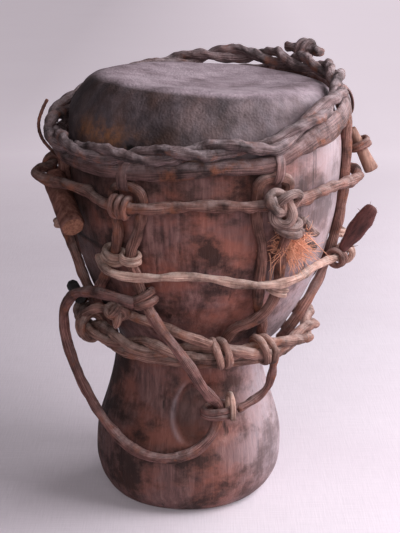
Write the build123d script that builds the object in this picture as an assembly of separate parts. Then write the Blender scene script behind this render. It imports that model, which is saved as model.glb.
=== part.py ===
"""Goblet drum with a laced hide head, as separate pieces, in millimetres with +Z up.

The drum stands on its foot at z = 0, with the foot's axis on Z and the front facing -Y.
The bowl and all that is laced to it are drawn in the bowl's own frame, which leans to +X
from the waist. In both frames azimuth 0 is the front and positive azimuths run towards +X.
"""
import math
import os

from build123d import *

# Wooden shell
waist_height = 114.0
bowl_height = 186.0
bowl_offset = 5.7
bowl_lean = 3.0
neck_radius = 52.0
belly_radius = 93.5
belly_height = 131.0
bowl_fullness = 2.3
rim_radius = 78.5
rim_roundness = 2.6
shell_wall = 11.0
bowl_floor = 14.0
throat_radius = 30.0
foot_radius = 67.0
foot_bulge_height = 31.0
foot_base_radius = 47.0
foot_mouth_radius = 38.0
foot_cavity_height = 70.0
scoop_radius = 40.0
scoop_depth = 3.0
scoop_azimuth = 7.0
scoop_height = 78.0

# Hide, cords and the gaps between them
clearance = 0.3
hug = 0.7
skin_gap = 0.6
skin_thickness = 1.8
skin_sag = 4.0
hem_diameter = 10.0
braid_strand_diameter = 6.2
braid_twists = 8
thong_diameter = 7.4
lower_thong_diameter = 6.0
link_diameter = 2.2
tie_diameter = 2.8
tie_pitch = 3.4
tie_turns = 2
keeper_diameter = 4.4
belt_strand_diameter = 7.0
belt_twists = 6
strap_diameter = 7.4
eye_diameter = 4.4
bight_diameter = 3.0
tail_diameter = 6.0
side_cord_diameter = 2.4
rear_knot_diameter = 8.0
front_knot_diameter = 6.4
front_tail_diameter = 5.0

# Head rings slant, lowest at the front left, and are pulled down a little at the front right
ring_low_azimuth = -50.0
hem_below_rim = 27.5
hem_slant = 13.5
braid_below_rim = 16.0
braid_slant = 14.5
ring_dip = 5.0
ring_dip_azimuth = 22.0
ring_dip_width = 12.0
upper_thong_below_hem = 35.5
upper_thong_rise = 3.5
upper_thong_dip = 8.0
upper_thong_hump = 5.0
upper_thong_hump_azimuth = 48.0
lower_below_upper_thong = 49.5
keeper_above_lower_thong = 8.5
belt_height = 24.0
belt_lower_height = 11.0

# Lacing pairs round the bowl
pairs = {
    "front_left": -30.0,
    "front_right": 25.5,
    "right": 92.0,
    "back_right": 148.0,
    "back_left": 210.0,
    "left": 264.0,
}
leg_spread = 6.2
thong_reach = 8.0
leg_flare = 19.0

# Wooden pegs
left_peg_diameter = 17.0
left_peg_top = (-84.0, 129.0)
left_peg_bottom = (-57.0, 106.0)
right_peg_top_diameter = 6.0
right_peg_bottom_diameter = 11.0
right_peg_azimuth = pairs["right"]
toggle_diameter = 9.0
toggle_length = 46.0

hem_middle = bowl_height - hem_below_rim
upper_thong_middle = hem_middle - upper_thong_below_hem
lower_thong_height = upper_thong_middle - lower_below_upper_thong
keeper_height = lower_thong_height + keeper_above_lower_thong
thong_radius = thong_diameter / 2
leg_lift = thong_radius + clearance + hug
over_leg = leg_lift + thong_radius + clearance


def bowl_radius(height):
    """Outside radius of the bowl at a height above the waist."""
    if height < belly_height:
        fall = 1 - height / belly_height
        return neck_radius + (belly_radius - neck_radius) * (1 - fall ** bowl_fullness)
    rise = (height - belly_height) / (bowl_height - belly_height)
    return rim_radius + (belly_radius - rim_radius) * (1 - rise ** rim_roundness)


def foot_outline_radius(z):
    """Outside radius of the foot at a height above the floor."""
    if z < foot_bulge_height:
        fall = (foot_bulge_height - z) / foot_bulge_height
        return foot_base_radius + (foot_radius - foot_base_radius) * math.sqrt(1 - fall * fall)
    rise = (z - foot_bulge_height) / (waist_height - foot_bulge_height)
    return neck_radius + (foot_radius - neck_radius) * (1 + math.cos(math.pi * rise)) / 2


def polar(azimuth, radius, height):
    """Point at an azimuth, a radius and a height."""
    angle = math.radians(azimuth)
    return Vector(radius * math.sin(angle), -radius * math.cos(angle), height)


def on_bowl(azimuth, height, lift):
    """Point that stands off the bowl's outside by lift, in the bowl frame.

    A height past the rim carries on round the rim's edge.
    """
    foot = min(height, bowl_height)
    step = 0.01
    slope = (bowl_radius(foot) - bowl_radius(foot - step)) / step
    angle = math.atan(-slope) + max(0.0, height - bowl_height) / lift
    radius = bowl_radius(foot) + lift * math.cos(angle)
    return polar(azimuth, radius, foot + lift * math.sin(angle))


def on_foot(azimuth, z, lift):
    """Point that stands off the foot's outside by lift, level with z."""
    return polar(azimuth, foot_outline_radius(z) + lift, z)


bowl_place = Location((bowl_offset, 0, waist_height), (0, bowl_lean, 0))


def from_bowl(point):
    """Point of the bowl frame, in the drum's frame."""
    return (bowl_place * Location(point)).position


def widened(point, step):
    """Corner point moved out so that a chord over the azimuth step keeps its distance."""
    grow = 1 / math.cos(math.radians(step) / 2)
    return Vector(point.X * grow, point.Y * grow, point.Z)


def corner_radii(points, closed):
    """Largest bend at each corner that leaves a tenth of each run straight."""
    count = len(points)
    shift = -1 if closed else 0
    radii = []
    for i in range(count if closed else count - 2):
        before, corner, after = (points[(i + k + shift) % count] for k in range(3))
        turn = math.radians((corner - before).get_angle(after - corner))
        run = min((corner - before).length, (after - corner).length)
        radii.append(0.45 * run / math.tan(max(turn, 0.002) / 2))
    return radii


def bend_middle(points, index):
    """Where a cord passes the corner at index, and the way it points there."""
    before, corner, after = points[index - 1:index + 2]
    ahead = (corner - before).normalized()
    onward = (after - corner).normalized()
    half = math.radians(ahead.get_angle(onward)) / 2
    cut = corner_radii([before, corner, after], False)[0] * (1 / math.cos(half) - 1)
    return corner + (onward - ahead).normalized() * cut, (ahead + onward).normalized()


def tube(points, diameter, closed=False):
    """Round cord along straight runs and the arcs that join them."""
    points = [Vector(*point) for point in points]
    path = FilletPolyline(*points, radius=corner_radii(points, closed), close=closed).wire()
    section = Plane(path @ 0, z_dir=path % 0) * Circle(diameter / 2)
    return sweep(section, path=path)


def ring_points(stations, height_at, lift_at):
    """Corner points of a cord all round the bowl through azimuth stations."""
    points = []
    for i, azimuth in enumerate(stations):
        before = stations[i - 1] - (360 if i == 0 else 0)
        after = stations[i + 1] if i + 1 < len(stations) else stations[0] + 360
        step = max(azimuth - before, after - azimuth)
        points.append(widened(on_bowl(azimuth, height_at(azimuth), lift_at(azimuth)), step))
    return points


def tied_ring(points, diameter, first):
    """Ring whose two ends meet at the middle of the run after the first point."""
    points = points[first + 1:] + points[:first + 1]
    join = (points[-1] + points[0]) / 2
    apart = (points[0] - points[-1]).normalized() * (clearance / 2)
    return tube([join + apart] + points + [join - apart], diameter)


def twisted_strand(start, height_at, lift_at, diameter, twists, phase):
    """One strand of a two-strand twist once round the bowl, its ends meeting at start."""
    per_twist = 6
    count = twists * per_twist
    arm = (diameter / 2 + clearance) / math.cos(math.pi / per_twist)
    points = []
    for i in range(count + 1):
        azimuth = start + 360 * i / count
        if i == 0:
            azimuth += 0.5
        if i == count:
            azimuth -= 0.5
        turn = 2 * math.pi * i / per_twist + phase
        middle = on_bowl(azimuth, height_at(azimuth), lift_at(azimuth))
        outer = on_bowl(azimuth, height_at(azimuth), lift_at(azimuth) + 1)
        out = outer - middle
        along = Vector(-math.cos(math.radians(azimuth)), -math.sin(math.radians(azimuth)), 0)
        across = out.cross(along)
        points.append(middle + out * (arm * math.cos(turn)) + across * (arm * math.sin(turn)))
    return tube(points, diameter)


def loop_round(centre, axis, side, wide, deep, diameter):
    """Closed oval of cord round an axis; wide is its half width along side, deep the other."""
    axis = axis.normalized()
    side = (side - axis * side.dot(axis)).normalized()
    other = axis.cross(side)
    count = 8
    grow = 1 / math.cos(math.pi / count)
    points = []
    for i in range(count):
        turn = 2 * math.pi * (i + 0.5) / count
        points.append(centre + side * (wide * grow * math.cos(turn)) + other * (deep * grow * math.sin(turn)))
    return tube(points, diameter, closed=True)


def loop_round_two(first, first_reach, second, second_reach, axis, diameter):
    """Closed loop of cord round two cords that both run along the axis."""
    up = (first - second).normalized()
    side = up.cross(axis.normalized())
    grow = 1 / math.cos(math.pi / 6)
    points = []
    for centre, reach, start in ((first, first_reach, 0), (second, second_reach, 180)):
        for turn in (0, 60, 120, 180):
            angle = math.radians(start + turn)
            points.append(centre + (side * math.cos(angle) + up * math.sin(angle)) * (reach * grow))
    return tube(points, diameter, closed=True)


def coil_round(centre, axis, side, radius, diameter, pitch, turns):
    """Cord wound round an axis in even turns."""
    axis = axis.normalized()
    side = (side - axis * side.dot(axis)).normalized()
    other = axis.cross(side)
    per_turn = 8
    grow = 1 / math.cos(math.pi / per_turn)
    count = turns * per_turn
    points = []
    for i in range(count + 1):
        turn = 2 * math.pi * i / per_turn
        advance = pitch * (i / per_turn - turns / 2)
        outward = side * math.cos(turn) + other * math.sin(turn)
        points.append(centre + axis * advance + outward * (radius * grow))
    return tube(points, diameter)


def winding_gap(pitch, diameter, turns):
    """Least gap of a winding to itself, on points along it that lie a half turn or more apart."""
    radius = thong_radius + clearance + diameter / 2
    count = 24
    marks = [i / count for i in range(turns * count + 1)]
    points = [
        Vector(radius * math.cos(2 * math.pi * t), radius * math.sin(2 * math.pi * t), pitch * t)
        for t in marks]
    return min(
        (points[i] - points[j]).length
        for i in range(len(points))
        for j in range(i + count // 2, len(points))) - diameter


def between(start, end, share):
    """Value part of the way from start to end."""
    return start + (end - start) * share


def bell(azimuth, middle, width):
    """Share that falls off on both sides of an azimuth."""
    apart = (azimuth - middle + 180) % 360 - 180
    return math.exp(-(apart / width) ** 2)


def ring_height(middle, slant, azimuth):
    """Height on the bowl of a slanting head ring."""
    reach = belly_radius * math.tan(math.radians(slant))
    level = middle - reach * math.cos(math.radians(azimuth - ring_low_azimuth))
    return level - ring_dip * bell(azimuth, ring_dip_azimuth, ring_dip_width)


def hem_height(azimuth):
    return ring_height(hem_middle, hem_slant, azimuth)


def braid_height(azimuth):
    return ring_height(bowl_height - braid_below_rim, braid_slant, azimuth)


def upper_height(azimuth):
    """Height of the upper thong, pressed down by one front pair and drawn up beyond the other."""
    level = upper_thong_middle - upper_thong_rise * math.cos(math.radians(azimuth - ring_low_azimuth))
    level -= upper_thong_dip * bell(azimuth, pairs["front_left"], 10)
    return level + upper_thong_hump * bell(azimuth, upper_thong_hump_azimuth, 16)


# Heights of the lacing's points are chosen for thongs at these heights, and follow them
chosen_upper_thong = 137.0
lacing_fixed_below = 36.0
lacing_whole_above = 60.0


def laced(height):
    """Height of a chosen point after the thongs have moved."""
    share = (height - lacing_fixed_below) / (lacing_whole_above - lacing_fixed_below)
    return height + (upper_thong_middle - chosen_upper_thong) * min(1.0, max(0.0, share))


def laced_points(stations):
    """Chosen points of azimuth, height and lift after the thongs have moved."""
    return [(azimuth, laced(height), lift) for azimuth, height, lift in stations]


hem_lift = link_diameter + 4 * clearance + hug + hem_diameter / 2
crown_drop = hem_diameter / 2 + clearance + thong_radius + hug
crown_lift = thong_radius + link_diameter + 4 * clearance + hug


def crown_height(azimuth):
    return hem_height(azimuth) - crown_drop


# Wooden shell: bowl and foot from one log, hollow right through
bowl_samples = [bowl_height * i / 16 for i in range(17)]
bowl_outline = Spline(*[(bowl_radius(h), 0, h) for h in bowl_samples])
bowl_face = make_face([
    bowl_outline,
    Polyline((rim_radius, 0, bowl_height), (0, 0, bowl_height), (0, 0, 0), (neck_radius, 0, 0)),
])
foot_top = waist_height + 4
foot_lower = Spline(*[
    (foot_outline_radius(z), 0, z)
    for z in [foot_bulge_height * (1 - math.cos(math.pi * i / 12)) for i in range(7)]
])
foot_upper = Spline(*[
    (foot_outline_radius(z), 0, z)
    for z in [between(foot_bulge_height, waist_height, i / 8) for i in range(9)]
])
foot_face = make_face([
    foot_lower,
    foot_upper,
    Polyline(
        (neck_radius, 0, waist_height),
        (neck_radius, 0, foot_top),
        (0, 0, foot_top),
        (0, 0, 0),
        (foot_base_radius, 0, 0),
    ),
])
cavity_outline = Spline(
    (throat_radius, 0, bowl_floor),
    (bowl_radius(30) - shell_wall * 1.5, 0, 30),
    (bowl_radius(70) - shell_wall, 0, 70),
    (belly_radius - shell_wall, 0, belly_height),
    (rim_radius - shell_wall, 0, bowl_height),
)
cavity_face = make_face([
    cavity_outline,
    Polyline(
        (rim_radius - shell_wall, 0, bowl_height),
        (rim_radius - shell_wall, 0, bowl_height + 5),
        (0, 0, bowl_height + 5),
        (0, 0, bowl_floor),
        (throat_radius, 0, bowl_floor),
    ),
])
throat_face = make_face(Polyline(
    (0, 0, -1),
    (foot_mouth_radius, 0, -1),
    (foot_mouth_radius, 0, 0),
    (throat_radius, 0, foot_cavity_height),
    (throat_radius, 0, waist_height + bowl_floor + 6),
    (0, 0, waist_height + bowl_floor + 6),
    close=True,
))
scoop_middle = on_foot(scoop_azimuth, scoop_height, scoop_radius - scoop_depth)
shell = revolve(foot_face, Axis.Z) + bowl_place * revolve(bowl_face, Axis.Z)
shell -= bowl_place * revolve(cavity_face, Axis.Z)
shell -= revolve(throat_face, Axis.Z)
shell -= Pos(*scoop_middle) * Sphere(scoop_radius)

# Hide head: a dished cap over the rim, cut off along the slanting plane above its hem
skin_low = hem_middle - 40


def skin_side(lift):
    count = 8
    return [on_bowl(90, between(skin_low, bowl_height, i / count), lift) for i in range(count + 1)]


def skin_top(rise):
    inner_rim = rim_radius - shell_wall
    return [
        Vector(inner_rim, 0, bowl_height + rise),
        Vector(inner_rim * 0.55, 0, bowl_height + rise - skin_sag * 0.7),
        Vector(0, 0, bowl_height + rise - skin_sag),
    ]


skin_outer = skin_side(skin_gap + skin_thickness)
skin_inner = skin_side(skin_gap)
skin_face = make_face([
    Spline(*skin_outer),
    Polyline(skin_outer[-1], (rim_radius - 2, 0, bowl_height + skin_gap + skin_thickness),
             skin_top(skin_gap + skin_thickness)[0]),
    Spline(*skin_top(skin_gap + skin_thickness)),
    Line(skin_top(skin_gap + skin_thickness)[-1], skin_top(skin_gap)[-1]),
    Spline(*skin_top(skin_gap)),
    Polyline(skin_top(skin_gap)[0], (rim_radius - 1, 0, bowl_height + skin_gap), skin_inner[-1]),
    Spline(*skin_inner),
    Line(skin_inner[0], skin_outer[0]),
])
skin_edge = hem_middle + hem_diameter / 2 + link_diameter + 4 * clearance
low = math.radians(ring_low_azimuth)
slant = math.radians(hem_slant)
skin_plane = Plane(
    (0, 0, skin_edge),
    x_dir=(math.cos(low), math.sin(low), 0),
    z_dir=(math.sin(slant) * math.sin(low), -math.sin(slant) * math.cos(low), math.cos(slant)),
)
drumhead = split(revolve(skin_face, Axis.Z), skin_plane, keep=Keep.TOP)

# Rings of the head
ring_stations = [15 + 30 * i for i in range(12)]
hem_count = 24
hem_stations = [pairs["front_right"] + 360 / hem_count * i for i in range(hem_count)]
hem_back = next(i for i, azimuth in enumerate(hem_stations) if azimuth > 170)
hem_points = ring_points(hem_stations, hem_height, lambda azimuth: hem_lift)
head_hem_roll = tied_ring(hem_points, hem_diameter, hem_back)


def hem_spot(azimuth):
    """Where the hem passes an azimuth."""
    place = ((azimuth - hem_stations[0]) / 360 * hem_count) % hem_count
    index = int(place)
    if place == index:
        return bend_middle([hem_points[index - 1], hem_points[index], hem_points[index + 1]], 1)[0]
    return between(hem_points[index], hem_points[(index + 1) % hem_count], place - index)


braid_reach = braid_strand_diameter + clearance
braid_seat = skin_gap + skin_thickness + clearance + hug + braid_reach
braid_over_hem = 6.4
braid_phase = math.radians(12)


def braid_lift(azimuth):
    """Lift of the braid, which rests on the hem at the front and on the skin at the back."""
    share = (1 + math.cos(math.radians(azimuth - ring_low_azimuth))) / 2
    return braid_seat + clearance + braid_over_hem * share


rear_azimuth = ring_low_azimuth + 180
head_braid_strand_a = twisted_strand(
    rear_azimuth, braid_height, braid_lift, braid_strand_diameter, braid_twists, braid_phase)
head_braid_strand_b = twisted_strand(
    rear_azimuth, braid_height, braid_lift, braid_strand_diameter, braid_twists, braid_phase + math.pi)
rear_lift = braid_lift(rear_azimuth) + braid_reach + clearance + rear_knot_diameter / 2
rear_knot = tube(
    [on_bowl(rear_azimuth + turn, braid_height(rear_azimuth + turn), rear_lift)
     for turn in (-11, -6, 0, 6, 11)], rear_knot_diameter)

# Lacing: each pair is one thong, hooked under the hem and led down to the belt
leg_tail_height = 10.0


def crown(azimuth):
    """Top of a pair: up the left leg, across under the hem, and down the right leg."""
    top = crown_height(azimuth)
    left = azimuth - leg_spread
    right = azimuth + leg_spread
    return (
        [(left, top - 13, leg_lift), (left, top, crown_lift)],
        [(right, top, crown_lift), (right, top - 13, leg_lift)],
    )


def upper_leg(azimuth, top, bottom):
    """Points down the side of the bowl, no farther apart than a leg keeps straight."""
    count = max(1, math.ceil((top - bottom) / 26))
    return [(azimuth, between(top, bottom, i / count), leg_lift) for i in range(1, count + 1)]


bend_cut = 1.2
keeper_lift = clearance + keeper_diameter + clearance + thong_radius + hug + bend_cut


def plain_leg(azimuth, side, kept):
    """Lower half of a leg, under the lower thong and flaring out to the belt."""
    near = azimuth + side * leg_spread
    held = keeper_lift if kept else leg_lift
    return [
        (near - side * 1.2, keeper_height, held),
        (near, laced(78), leg_lift + 1),
        (azimuth + side * 13, laced(57), leg_lift),
        (azimuth + side * 17.5, laced(38), leg_lift),
        (azimuth + side * leg_flare, 21, leg_lift),
        (azimuth + side * leg_flare, leg_tail_height, leg_lift),
    ]


cross_lift = over_leg + thong_radius + hug
knot_lift = clearance + front_knot_diameter + clearance + thong_radius + hug + bend_cut
front_left_down = laced_points([
    (-35.0, 106, leg_lift), (-38.0, 93, leg_lift), (-43.5, 80.5, leg_lift), (-50.0, 69, leg_lift),
    (-59.0, 57, leg_lift), (-65.0, 40, leg_lift), (-67.0, 21, leg_lift),
    (-67.0, leg_tail_height, leg_lift),
])
front_left_strap = laced_points([
    (-25.5, 112, leg_lift), (-28.5, 96, keeper_lift), (-27.0, 83, leg_lift + 2),
    (-25.0, 73, leg_lift + 4), (-19.0, 61.5, leg_lift + 10),
])
front_right_under = laced_points([
    (20.0, 122, leg_lift), (24.0, 108, leg_lift), (25.0, 90, leg_lift), (26.0, 71, leg_lift),
    (30.5, 52, leg_lift), (36.0, 33, leg_lift), (38.0, 18, leg_lift), (38.0, leg_tail_height, leg_lift),
])
front_right_over = laced_points([
    (31.7, 134, leg_lift), (31.6, 121, knot_lift), (32.0, 107, leg_lift + 2),
    (32.8, 95, leg_lift + 2), (32.6, 79, keeper_lift),
    (29.0, 66, cross_lift), (24.3, 51, cross_lift - 2), (17.5, 35, leg_lift + 1),
    (14.0, 19, leg_lift), (13.5, leg_tail_height, leg_lift),
])

lacing_routes = {}
for name, azimuth in pairs.items():
    left_top, right_top = crown(azimuth)
    start = left_top[0][1]
    left_leg = upper_leg(azimuth - leg_spread, start, laced(116)) + plain_leg(azimuth, -1, False)
    right_leg = upper_leg(azimuth + leg_spread, start, laced(116)) + plain_leg(azimuth, 1, True)
    if name == "front_left":
        left_leg = front_left_down
        right_leg = front_left_strap
    if name == "front_right":
        left_leg = front_right_under
        right_leg = front_right_over
    lacing_routes[name] = left_leg[::-1] + left_top + right_top + right_leg

lacings = {
    name: tube([on_bowl(*station) for station in route], thong_diameter)
    for name, route in lacing_routes.items()
}

# Links between the hem and the crown of each pair
head_links = {}
for name, azimuth in pairs.items():
    reach = link_diameter / 2 + 2 * clearance
    head_links[name] = loop_round_two(
        hem_spot(azimuth), hem_diameter / 2 + reach - clearance / 2,
        on_bowl(azimuth, crown_height(azimuth), crown_lift), thong_radius + reach,
        polar(azimuth + 90, 1, 0), link_diameter)

# Thongs that run over the legs: the upper one right round, the lower one across the front
thong_over = over_leg + thong_radius + hug
peg_cross = -78.0 + 360
peg_end_rise = 2.0
peg_lift = left_peg_diameter + 2 * clearance + hug + thong_radius + peg_end_rise
upper_stations = {}
for azimuth in pairs.values():
    for side in (-1, 1):
        upper_stations[(azimuth + side * thong_reach) % 360] = thong_over
ordered = sorted(azimuth % 360 for azimuth in pairs.values())
for before, after in zip(ordered, ordered[1:] + [ordered[0] + 360]):
    middle = ((before + after) / 2) % 360
    upper_stations[middle] = leg_lift
upper_stations.pop(((pairs["left"] + pairs["front_left"] + 360) / 2) % 360)
upper_stations[peg_cross - 6] = peg_lift
upper_stations[peg_cross + 6] = peg_lift
upper_stations[peg_cross + 25] = leg_lift + 1
upper_azimuths = sorted(upper_stations)
upper_points = ring_points(upper_azimuths, upper_height, upper_stations.get)
back = next(i for i, azimuth in enumerate(upper_azimuths) if azimuth > 150)
upper_thong = tied_ring(upper_points, thong_diameter, back)
lower_over = keeper_lift + thong_radius + clearance + lower_thong_diameter / 2
lower_rest = lower_thong_diameter / 2 + clearance + hug
lower_end = over_leg + lower_thong_diameter + hug
lower_stations = [
    (pairs["front_left"] - 18, lower_rest),
    (pairs["front_left"] - thong_reach, lower_over),
    (pairs["front_left"] + thong_reach, lower_over),
    (between(pairs["front_left"], pairs["front_right"], 0.5), lower_rest),
    (pairs["front_right"] - thong_reach, lower_over),
    (pairs["front_right"] + thong_reach, lower_over),
    (between(pairs["front_right"], pairs["right"], 0.5), lower_rest),
    (pairs["right"] - thong_reach, lower_end),
    (pairs["right"], lower_end),
]
lower_azimuths = [azimuth for azimuth, lift in lower_stations]
lower_steps = [after - before for before, after in zip(lower_azimuths, lower_azimuths[1:])]
lower_points = [
    widened(on_bowl(azimuth, lower_thong_height, lift), max(lower_steps[max(0, i - 1):i + 1]))
    for i, (azimuth, lift) in enumerate(lower_stations)
]
lower_thong = tube(lower_points, lower_thong_diameter)

# Ties that bind each crown to the upper thong, and keepers that gather one leg of each pair
ties = {}
keepers = {}
for name, azimuth in pairs.items():
    across = polar(azimuth + 90, 1, 0)
    if name != "right":
        first = upper_azimuths.index((azimuth - thong_reach) % 360)
        run_start, run_end = upper_points[first], upper_points[(first + 1) % len(upper_points)]
        ties[name] = coil_round(
            (run_start + run_end) / 2, run_end - run_start, polar(azimuth, 1, 0),
            thong_radius + clearance + tie_diameter / 2, tie_diameter, tie_pitch, tie_turns)
    route = lacing_routes[name]
    held = [i for i, station in enumerate(route) if station[2] == keeper_lift][0]
    middle, along = bend_middle([on_bowl(*station) for station in route], held)
    reach = thong_radius + clearance + keeper_diameter / 2
    keepers[name] = loop_round(middle, along, across, reach + hug / 2, reach, keeper_diameter)

# Belt round the waist: a twisted pair over the legs, and one plain strand below it
belt_reach = belt_strand_diameter + clearance
belt_lift = over_leg + hug + belt_reach
belt_back = 180.0
belt_strand_a = twisted_strand(
    belt_back, lambda azimuth: belt_height, lambda azimuth: belt_lift, belt_strand_diameter, belt_twists, 0)
belt_strand_b = twisted_strand(
    belt_back, lambda azimuth: belt_height, lambda azimuth: belt_lift, belt_strand_diameter, belt_twists,
    math.pi)
belt_lower_points = ring_points(
    ring_stations, lambda azimuth: belt_lower_height,
    lambda azimuth: over_leg + belt_strand_diameter / 2 + hug / 2)
belt_lower_strand = tube(belt_lower_points, belt_strand_diameter, closed=True)

# Pegs: straight rods laid against the bowl and gripped by the cords
left_peg_lift = left_peg_diameter / 2 + clearance
left_peg_upper, left_peg_lower = laced_points(
    [(*left_peg_top, left_peg_lift), (*left_peg_bottom, left_peg_lift)])
peg_middle = on_bowl(
    between(left_peg_upper[0], left_peg_lower[0], 0.5),
    between(left_peg_upper[1], left_peg_lower[1], 0.5), left_peg_lift)
peg_axis = on_bowl(*left_peg_upper) - on_bowl(*left_peg_lower)
left_peg_length = peg_axis.length
left_peg = Plane(peg_middle, z_dir=peg_axis) * Cylinder(left_peg_diameter / 2, left_peg_length)
left_peg = chamfer(left_peg.edges().filter_by(GeomType.CIRCLE), 1.5)

right_peg_top = on_bowl(right_peg_azimuth, laced(169), 9.2)
right_peg_bottom = on_bowl(right_peg_azimuth, laced(142), 23.8)
right_axis = right_peg_top - right_peg_bottom
right_peg = Plane(right_peg_bottom, z_dir=right_axis) * Cone(
    right_peg_bottom_diameter / 2, right_peg_top_diameter / 2, right_axis.length,
    align=(Align.CENTER, Align.CENTER, Align.MIN))
loop_share = 0.62
loop_reach = between(right_peg_bottom_diameter, right_peg_top_diameter, loop_share) / 2
loop_reach += clearance + hug / 2 + eye_diameter / 2
right_peg_loop = loop_round(
    between(right_peg_bottom, right_peg_top, loop_share), right_axis,
    polar(right_peg_azimuth + 90, 1, 0), loop_reach, loop_reach, eye_diameter)

toggle_middle = from_bowl(on_bowl(-78, 40, thong_diameter + toggle_diameter / 2 + 1.6))
toggle_axis = polar(-78 + 90, 1, 0.1)
waist_toggle = Plane(toggle_middle, z_dir=toggle_axis) * Cylinder(toggle_diameter / 2, toggle_length)
waist_toggle = chamfer(waist_toggle.edges().filter_by(GeomType.CIRCLE), 1.2)

# Knot on the front right pair, its two tails, its frayed end, and the hide tab at the right
knot_route = [on_bowl(*station) for station in lacing_routes["front_right"]]
knot_index = lacing_routes["front_right"].index(front_right_over[1])
knot_middle, knot_along = bend_middle(knot_route, knot_index)
knot_reach = thong_radius + clearance + front_knot_diameter / 2
front_knot = loop_round(
    knot_middle, knot_along, polar(front_right_over[1][0] + 90, 1, 0),
    knot_reach + hug / 2, knot_reach, front_knot_diameter)
tail_lift = front_tail_diameter / 2 + clearance + hug
front_knot_tail_upper = tube(
    [on_bowl(*s) for s in laced_points([
        (38.2, 124.5, 10.5), (42.0, 121.5, tail_lift + 2), (46.0, 117, tail_lift - 0.6),
        (49.5, 113, tail_lift - 0.6), (52.0, 110, tail_lift + 1)])], front_tail_diameter)
front_knot_tail_lower = tube(
    [on_bowl(*s) for s in laced_points([
        (37.9, 117.5, 10.0), (41.8, 113, tail_lift + 1), (45.5, 108.5, tail_lift - 0.6),
        (49.5, 104.5, tail_lift - 0.6), (52.5, 101, tail_lift + 1)])], front_tail_diameter)
tuft_azimuth = 38.0
tuft_plane = Plane(
    on_bowl(tuft_azimuth, laced(104), 1.3), x_dir=polar(tuft_azimuth + 90, 1, 0),
    z_dir=polar(tuft_azimuth, 1, 0))
frayed_tuft = tuft_plane * extrude(Ellipse(3.2, 7.5), amount=3.0)
knot_azimuth = 73.5
before = lower_azimuths.index(between(pairs["front_right"], pairs["right"], 0.5))
side_middle = between(
    lower_points[before], lower_points[before + 1],
    (knot_azimuth - lower_azimuths[before]) / (lower_azimuths[before + 1] - lower_azimuths[before]))
side_along = lower_points[before + 1] - lower_points[before]
side_knot_diameter = 5.0
side_knot_reach = lower_thong_diameter / 2 + clearance + side_knot_diameter / 2 + hug / 2
side_knot = loop_round(
    side_middle, side_along, polar(knot_azimuth, 1, 0), side_knot_reach, side_knot_reach, side_knot_diameter)
tab_length = 34.0
tab_width = 10.0
tab_way = polar(knot_azimuth, 0.5, 0.87)
tab_reach = side_knot_reach + side_knot_diameter / 2 + clearance + tab_length / 2
tab_plane = Plane(
    side_middle + tab_way * tab_reach, x_dir=tab_way, z_dir=polar(knot_azimuth + 90, 1, 0))
hide_tab = tab_plane * extrude(RectangleRounded(tab_length, tab_width, 4), amount=2.2, both=True)
side_cord = tube(
    [on_bowl(*s) for s in laced_points([
        (-84, 176, 21.5), (-86, 165, 24.8), (-88, 155, 22.3), (-90, 147.5, 17.0), (-91.2, 141.5, 10.8)])],
    side_cord_diameter)

# Carrying strap: a taut run over the belt to the foot, and a loop that hangs at the left


def by_waist(x, y, rise):
    """Point of the strap, which is tied at the belt and rises with the waist."""
    return Vector(x, y, waist_height + rise)


strap_end = from_bowl(on_bowl(*front_left_strap[-1]))
strap_way = (strap_end - from_bowl(on_bowl(*front_left_strap[-2]))).normalized()
diagonal_route = [
    strap_end + strap_way * 0.2, strap_end + strap_way * 9, by_waist(-11, -94.5, 29),
    by_waist(-4, -97.8, 20.5), by_waist(3, -97.5, 10),
    by_waist(8.2, -93.5, -1), by_waist(12.6, -85, -10.5), by_waist(17, -74, -19.5),
    by_waist(20.5, -66, -26.5), by_waist(21.8, -63.8, -32.5),
]
diagonal_strap = tube(diagonal_route, strap_diameter)
loop_route = [
    by_waist(21.9, -63.4, -35), by_waist(20.5, -63.5, -44), by_waist(14, -66.5, -54.5), by_waist(3.5, -69.5, -62.5),
    by_waist(-10, -70.5, -66), by_waist(-25.5, -67.5, -66), by_waist(-41, -60.5, -61),
    by_waist(-54.5, -52.5, -49.5), by_waist(-66, -47.5, -34), by_waist(-76, -43.5, -14),
    by_waist(-83, -40.5, 6), by_waist(-86, -39, 23), by_waist(-84, -43, 38),
    by_waist(-75.5, -53.5, 49.5), by_waist(-61, -69, 54.5), by_waist(-46, -81, 54),
    by_waist(-34.7, -87.6, 52.2),
]
carry_loop = tube(loop_route, strap_diameter)
eye_middle = by_waist(22, -63.4, -33.2)
eye_side = polar(19.1 + 90, 1, 0)
strap_eye = loop_round(
    eye_middle, Vector(0, 0, 1), eye_side, 11.0,
    strap_diameter / 2 + clearance + hug + eye_diameter / 2, eye_diameter)
bight_out = polar(19.1, 1, 0)
strap_bight = tube([
    eye_middle + eye_side * 6.3 + Vector(0, 0, -5),
    eye_middle + eye_side * 6.3 + Vector(0, 0, 5),
    eye_middle + eye_side * 6.6 + Vector(0, 0, 13),
    eye_middle + eye_side * 6.6 + bight_out * 8.0 + Vector(0, 0, 13),
    eye_middle + eye_side * 6.3 + bight_out * 10.1 + Vector(0, 0, 5),
    eye_middle + eye_side * 6.3 + bight_out * 10.1 + Vector(0, 0, -3),
], bight_diameter)
strap_tail = tube([
    by_waist(59.5, -58.2, 4.8), by_waist(59, -54.5, -7), by_waist(57, -52, -17.5), by_waist(52.5, -50.5, -25),
    by_waist(46.5, -52, -29), by_waist(41.5, -55, -31.5), by_waist(35.6, -59.2, -33.1),
], tail_diameter)

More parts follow.
